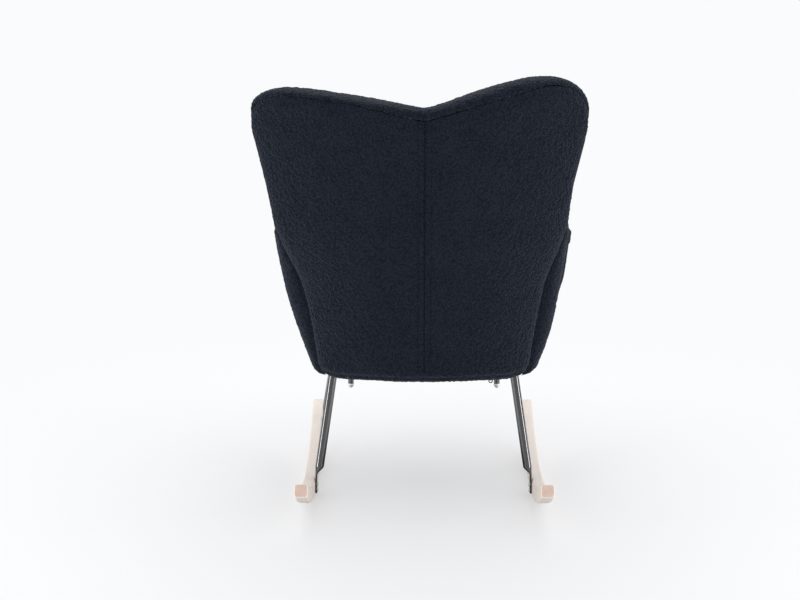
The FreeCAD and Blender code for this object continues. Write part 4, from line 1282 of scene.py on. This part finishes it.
def make_stage():
    look = bpy.context.scene.chair_stage
    scene = bpy.context.scene
    scene.view_settings.view_transform = "Standard"
    floor = add_piece("floor", [(-60, -60, 0), (60, -60, 0), (60, 60, 0), (-60, 60, 0)], [(0, 1, 2, 3)],
                      floor_finish(look))

    world = bpy.data.worlds.new("studio")
    scene.world = world
    world.use_nodes = True
    tree = world.node_tree
    tree.nodes.clear()
    rays = tree.nodes.new("ShaderNodeLightPath").outputs
    dimmed = math_node(tree, "MULTIPLY_ADD", rays["Is Glossy Ray"], -0.5 * look.room_light, look.room_light)
    light = node_in(tree, "ShaderNodeBackground", {"Color": (1.0, 1.0, 1.0, 1.0), "Strength": dimmed})
    backdrop = node_in(tree, "ShaderNodeBackground", {"Color": opaque(look.backdrop_colour), "Strength": 1.0})
    blend = mix_shaders(tree, seen_share(tree, rays), light.outputs[0], backdrop.outputs[0])
    node_in(tree, "ShaderNodeOutputWorld", {0: blend})

    for name, place, size, power in (("key_softbox", (2.6, 3.2, 3.4), (2.6, 2.6), look.key_power),
                                     ("fill_softbox", (-3.2, 2.2, 2.6), (2.4, 2.4), look.fill_power),
                                     ("front_softbox", (0.0, -2.8, 3.3), (2.4, 2.4), look.front_power),
                                     ("left_strip", (2.5, 1.1, 0.5), (0.5, 0.8), look.strip_power),
                                     ("right_strip", (-2.5, 1.1, 0.5), (0.5, 0.8), look.strip_power)):
        lamp = bpy.data.lights.new(name, "AREA")
        lamp.shape = "RECTANGLE"
        lamp.size = size[0]
        lamp.size_y = size[1]
        lamp.energy = power
        holder = new_object(name, lamp)
        holder.location = place
        holder.visible_camera = False
        aim = Vector((0.0, 0.0, 0.5)) - Vector(place)
        holder.rotation_euler = aim.to_track_quat("-Z", "Y").to_euler()

    camera = bpy.data.cameras.new("rear_view")
    camera.sensor_width = 36.0
    camera.lens = look.lens
    camera.clip_end = 300.0
    holder = new_object("rear_view", camera)
    holder.location = look.camera_place
    holder.rotation_euler = (math.radians(90.0) - look.camera_pitch, 0.0, math.pi + look.camera_yaw)
    scene.camera = holder


def seen_share(tree, rays):
    """1 for what the camera sees straight or through something, and 0 for light that bounces."""
    return math_node(tree, "MAXIMUM", rays["Is Camera Ray"], rays["Is Transmission Ray"])


def floor_finish(look):
    """Pale sweep: partly lit, partly its own plain colour to the camera, so the shadow stays soft."""
    material, tree, shader, place = material_start("floor_sweep")
    out = next(n for n in tree.nodes if n.type == "OUTPUT_MATERIAL")
    share = remap(tree, noise_node(tree, place, 0.6)[0], 0.3, 0.7)
    dim = opaque([0.985 * c for c in look.floor_colour])
    feed(tree, shader, {"Base Color": mix_colours(tree, share, dim, opaque(look.floor_colour)),
                        "Roughness": 0.85, "Specular IOR Level": 0.1})
    glow = node_in(tree, "ShaderNodeEmission", {"Color": opaque(look.backdrop_colour)}).outputs[0]
    rays = tree.nodes.new("ShaderNodeLightPath").outputs
    distance = node_in(tree, "ShaderNodeVectorMath", {0: place}, operation="LENGTH").outputs["Value"]
    plain = remap(tree, distance, 0.75, 2.1, look.floor_glow, 1.0, interpolation_type="SMOOTHSTEP")
    plain_seen = math_node(tree, "MULTIPLY", seen_share(tree, rays), plain)
    blend = mix_shaders(tree, plain_seen, shader.outputs[0], glow)
    # Painted reflection: to glossy rays only, the floor turns black near the chair's middle and stays bright
    # beside it, so the coated legs mirror a painted dark band on their inner side
    split = node_in(tree, "ShaderNodeSeparateXYZ", {0: place}).outputs
    painted_dark_band_share = remap(tree, math_node(tree, "ABSOLUTE", split[0]), 0.26, 0.42, 0.92, 0.0)
    # Black emission seen only in reflections: a painted dark floor under the chair
    dark = node_in(tree, "ShaderNodeEmission", {"Strength": 0.0}).outputs[0]
    painted_reflection_share = math_node(tree, "MULTIPLY", painted_dark_band_share, rays["Is Glossy Ray"])
    feed(tree, out, {"Surface": mix_shaders(tree, painted_reflection_share, blend, dark)})
    return material


# Sizes and colours that a user would change

def size_value(label, words, default):
    return FloatProperty(name=label, description=words, default=default, min=0.0, unit="LENGTH", precision=4)


def share_value(label, words, default, low=0.0, high=1.0):
    return FloatProperty(name=label, description=words, default=default, min=low, max=high, subtype="FACTOR")


def power_value(label, words, default):
    return FloatProperty(name=label, description=words, default=default, min=0.0, unit="POWER")


def angle_value(label, words, degrees):
    return FloatProperty(name=label, description=words, default=math.radians(degrees), subtype="ANGLE",
                         unit="ROTATION")


def colour_value(label, words, default):
    return FloatVectorProperty(name=label, description=words, default=default, size=3, subtype="COLOR",
                               min=0.0, max=1.0)


class ChairBack(bpy.types.PropertyGroup):
    notch_height: size_value("Notch height", "Height of the dip between the lobes", 0.6350)
    left_lobe_rise: size_value("Left lobe rise", "How far the left lobe stands above the notch", 0.0320)
    right_lobe_rise: size_value("Right lobe rise", "How far the right lobe stands above the notch", 0.0585)
    left_lobe_place: share_value("Left lobe place", "Share of the half width where it peaks", 0.71, 0.2, 0.95)
    right_lobe_place: share_value("Right lobe place", "Share of the half width where it peaks", 0.665, 0.2,
                                  0.95)
    left_corner_drop: size_value("Left corner drop", "How far the top edge falls at the left wing", 0.066)
    right_corner_drop: size_value("Right corner drop", "How far it falls at the right wing", 0.106)
    wing_wrap: share_value("Wing wrap", "Share of the arc that the padding wraps", 0.035, 0.0, 0.05)
    wing_sway: size_value("Wing sway", "How far the stuffed wings lean to the sitter's left", 0.0119)
    lower_edge_hang: size_value("Lower edge hang", "How far the rolled lower edge hangs under the frame",
                                0.0045)
    side_hang: size_value("Side hang", "How much lower the edge hangs towards the arms", 0.0155)
    seam_spread: size_value("Seam spread", "Distance between the two rows beside the middle seam", 0.025)
    seam_depth: size_value("Seam depth", "How far the sewn rows draw the cloth in", 0.0046)
    hem_height: size_value("Hem height", "Height of the fold above the lower edge", 0.013)
    channel_place: share_value("Channel place", "Share of the half width where the wings begin", 0.50, 0.2,
                               0.9)
    channel_depth: size_value("Channel depth", "How far the sewn channels draw the padding in", 0.013)


class ChairSeat(bpy.types.PropertyGroup):
    cushion_thickness: size_value("Cushion thickness", "Height of the loose cushion in the middle", 0.106)
    cushion_swell: size_value("Cushion swell", "Furthest that the stuffing may push the cover out", 0.012)


class ChairCloth(bpy.types.PropertyGroup):
    pile_height: size_value("Pile height", "How far the curls stand out", 0.0024)
    pile_knot: size_value("Pile knot", "Size of one knot of curls in the mesh", 0.0085)
    curl_size: size_value("Curl size", "Size of one curl in the cloth's finish", 0.0042)
    thread_size: size_value("Thread size", "Thickness of the sewing thread", 0.0011)
    # Lit yarn colour, and the painted shade colour of the gaps between the curls
    yarn_colour: colour_value("Yarn colour", "Lit side of the curls", (0.0160, 0.0212, 0.0354))
    gap_colour: colour_value("Gap colour", "Depth between the curls", (0.0056, 0.0078, 0.0130))
    thread_colour: colour_value("Thread colour", "Sewing thread", (0.012, 0.014, 0.020))


class ChairWood(bpy.types.PropertyGroup):
    rocker_pale: colour_value("Rocker pale", "Main colour of the rockers", (0.94, 0.87, 0.81))
    rocker_streak: colour_value("Rocker streak", "Grain lines of the rockers", (0.90, 0.79, 0.70))
    end_pale: colour_value("End pale", "Paler part of the sawn ends", (0.66, 0.51, 0.44))
    end_dark: colour_value("End dark", "Darker rings of the sawn ends", (0.52, 0.35, 0.28))
    frame_pale: colour_value("Frame pale", "Main colour of the inner frame", (0.66, 0.50, 0.33))
    frame_streak: colour_value("Frame streak", "Grain lines of the inner frame", (0.45, 0.30, 0.17))


class ChairSteel(bpy.types.PropertyGroup):
    coat_colour: colour_value("Coat colour", "Powder coat of the legs", (0.012, 0.013, 0.016))
    zinc_colour: colour_value("Zinc colour", "Plate on screws, bolts and nuts", (0.84, 0.84, 0.83))


class ChairStage(bpy.types.PropertyGroup):
    floor_colour: colour_value("Floor colour", "Colour of the sweep", (0.83, 0.838, 0.852))
    backdrop_colour: colour_value("Backdrop colour", "What is seen behind the chair", (0.958, 0.963, 0.975))
    floor_glow: share_value("Floor glow", "Share of the floor that shows its plain colour", 0.40)
    room_light: FloatProperty(name="Room light", description="Strength of the even light", default=1.0,
                              min=0.0)
    key_power: power_value("Key power", "Softbox on the left", 14.0)
    fill_power: power_value("Fill power", "Softbox on the right", 10.0)
    front_power: power_value("Front power", "Softbox before and above the chair", 30.0)
    strip_power: power_value("Strip power", "Low lamps beside the legs", 13.0)
    lens: FloatProperty(name="Lens", description="Focal length in millimetres", default=86.47, min=1.0)
    camera_place: FloatVectorProperty(name="Camera place", description="Where the camera stands", size=3,
                                      default=(0.0257, 4.4017, 1.2630), subtype="TRANSLATION", unit="LENGTH")
    camera_pitch: angle_value("Camera pitch", "How far the camera looks down", 10.495)
    camera_yaw: angle_value("Camera yaw", "How far the camera turns from straight ahead", 0.383)


# Operators and panel

class MakeStage(bpy.types.Operator):
    """Set up the floor, the light and the camera"""
    bl_idname = "chair.make_stage"
    bl_label = "Stage"

    def execute(self, context):
        make_stage()
        return {"FINISHED"}


class FinishFrame(bpy.types.Operator):
    """Give the rails, boards, plates and webbing their finishes"""
    bl_idname = "chair.finish_frame"
    bl_label = "Frame finishes"

    def execute(self, context):
        finish_frame()
        return {"FINISHED"}


class MakeRockers(bpy.types.Operator):
    """Make both bent wooden rockers"""
    bl_idname = "chair.make_rockers"
    bl_label = "Rockers"

    def execute(self, context):
        make_rockers()
        return {"FINISHED"}


class MakeLegs(bpy.types.Operator):
    """Make the four tube legs and their welds"""
    bl_idname = "chair.make_legs"
    bl_label = "Legs"

    def execute(self, context):
        make_legs()
        return {"FINISHED"}


class MakeFasteners(bpy.types.Operator):
    """Make the heads of the screws and bolts"""
    bl_idname = "chair.make_fasteners"
    bl_label = "Screws and bolts"

    def execute(self, context):
        make_fasteners()
        return {"FINISHED"}


class MakeClamps(bpy.types.Operator):
    """Make the sleeves, cap nuts and hook under the back"""
    bl_idname = "chair.make_clamps"
    bl_label = "Clamp ends and hook"

    def execute(self, context):
        make_clamps()
        return {"FINISHED"}


class MakeOutsideBack(bpy.types.Operator):
    """Make the outside back with its sewn rows"""
    bl_idname = "chair.make_outside_back"
    bl_label = "Outside back"

    def execute(self, context):
        make_outside_back()
        return {"FINISHED"}


class MakeInsideBack(bpy.types.Operator):
    """Make the padded inside back with its wings and rim"""
    bl_idname = "chair.make_inside_back"
    bl_label = "Inside back"

    def execute(self, context):
        make_inside_back()
        return {"FINISHED"}


class MakeArms(bpy.types.Operator):
    """Make both padded arms"""
    bl_idname = "chair.make_arms"
    bl_label = "Arms"

    def execute(self, context):
        make_arms()
        return {"FINISHED"}


class MakePocket(bpy.types.Operator):
    """Make the pocket on the sitter's right arm"""
    bl_idname = "chair.make_pocket"
    bl_label = "Side pocket"

    def execute(self, context):
        make_pocket()
        return {"FINISHED"}


class MakeCushion(bpy.types.Operator):
    """Make the loose seat cushion"""
    bl_idname = "chair.make_cushion"
    bl_label = "Seat cushion"

    def execute(self, context):
        make_cushion()
        return {"FINISHED"}


class MakeSeatBase(bpy.types.Operator):
    """Make the border, the deck and the stapled lining"""
    bl_idname = "chair.make_seat_base"
    bl_label = "Border, deck and lining"

    def execute(self, context):
        make_seat_base()
        return {"FINISHED"}


OPERATORS = (MakeStage, FinishFrame, MakeRockers, MakeLegs, MakeFasteners, MakeClamps, MakeOutsideBack,
             MakeInsideBack, MakeArms, MakePocket, MakeCushion, MakeSeatBase)
LOOKS = {"chair_back": ChairBack, "chair_seat": ChairSeat, "chair_cloth": ChairCloth, "chair_wood": ChairWood,
         "chair_steel": ChairSteel, "chair_stage": ChairStage}


class ChairPanel(bpy.types.Panel):
    """Lists the pieces of the chair"""
    bl_idname = "VIEW3D_PT_chair"
    bl_label = "Rocking chair"
    bl_space_type = "VIEW_3D"
    bl_region_type = "UI"
    bl_category = "Chair"

    def draw(self, context):
        for operator in OPERATORS:
            self.layout.operator(operator.bl_idname)
        for name, group in LOOKS.items():
            box = self.layout.box()
            for key in group.__annotations__:
                box.prop(getattr(context.scene, name), key)


def register():
    for group in LOOKS.values():
        bpy.utils.register_class(group)
    for name, group in LOOKS.items():
        setattr(bpy.types.Scene, name, PointerProperty(type=group))
    for operator in OPERATORS:
        bpy.utils.register_class(operator)
    bpy.utils.register_class(ChairPanel)


def unregister():
    bpy.utils.unregister_class(ChairPanel)
    for operator in reversed(OPERATORS):
        bpy.utils.unregister_class(operator)
    for name in LOOKS:
        delattr(bpy.types.Scene, name)
    for group in reversed(list(LOOKS.values())):
        bpy.utils.unregister_class(group)


def main():
    register()
    for operator in OPERATORS:
        area, name = operator.bl_idname.split(".")
        getattr(getattr(bpy.ops, area), name)()


if __name__ == "__main__":
    main()
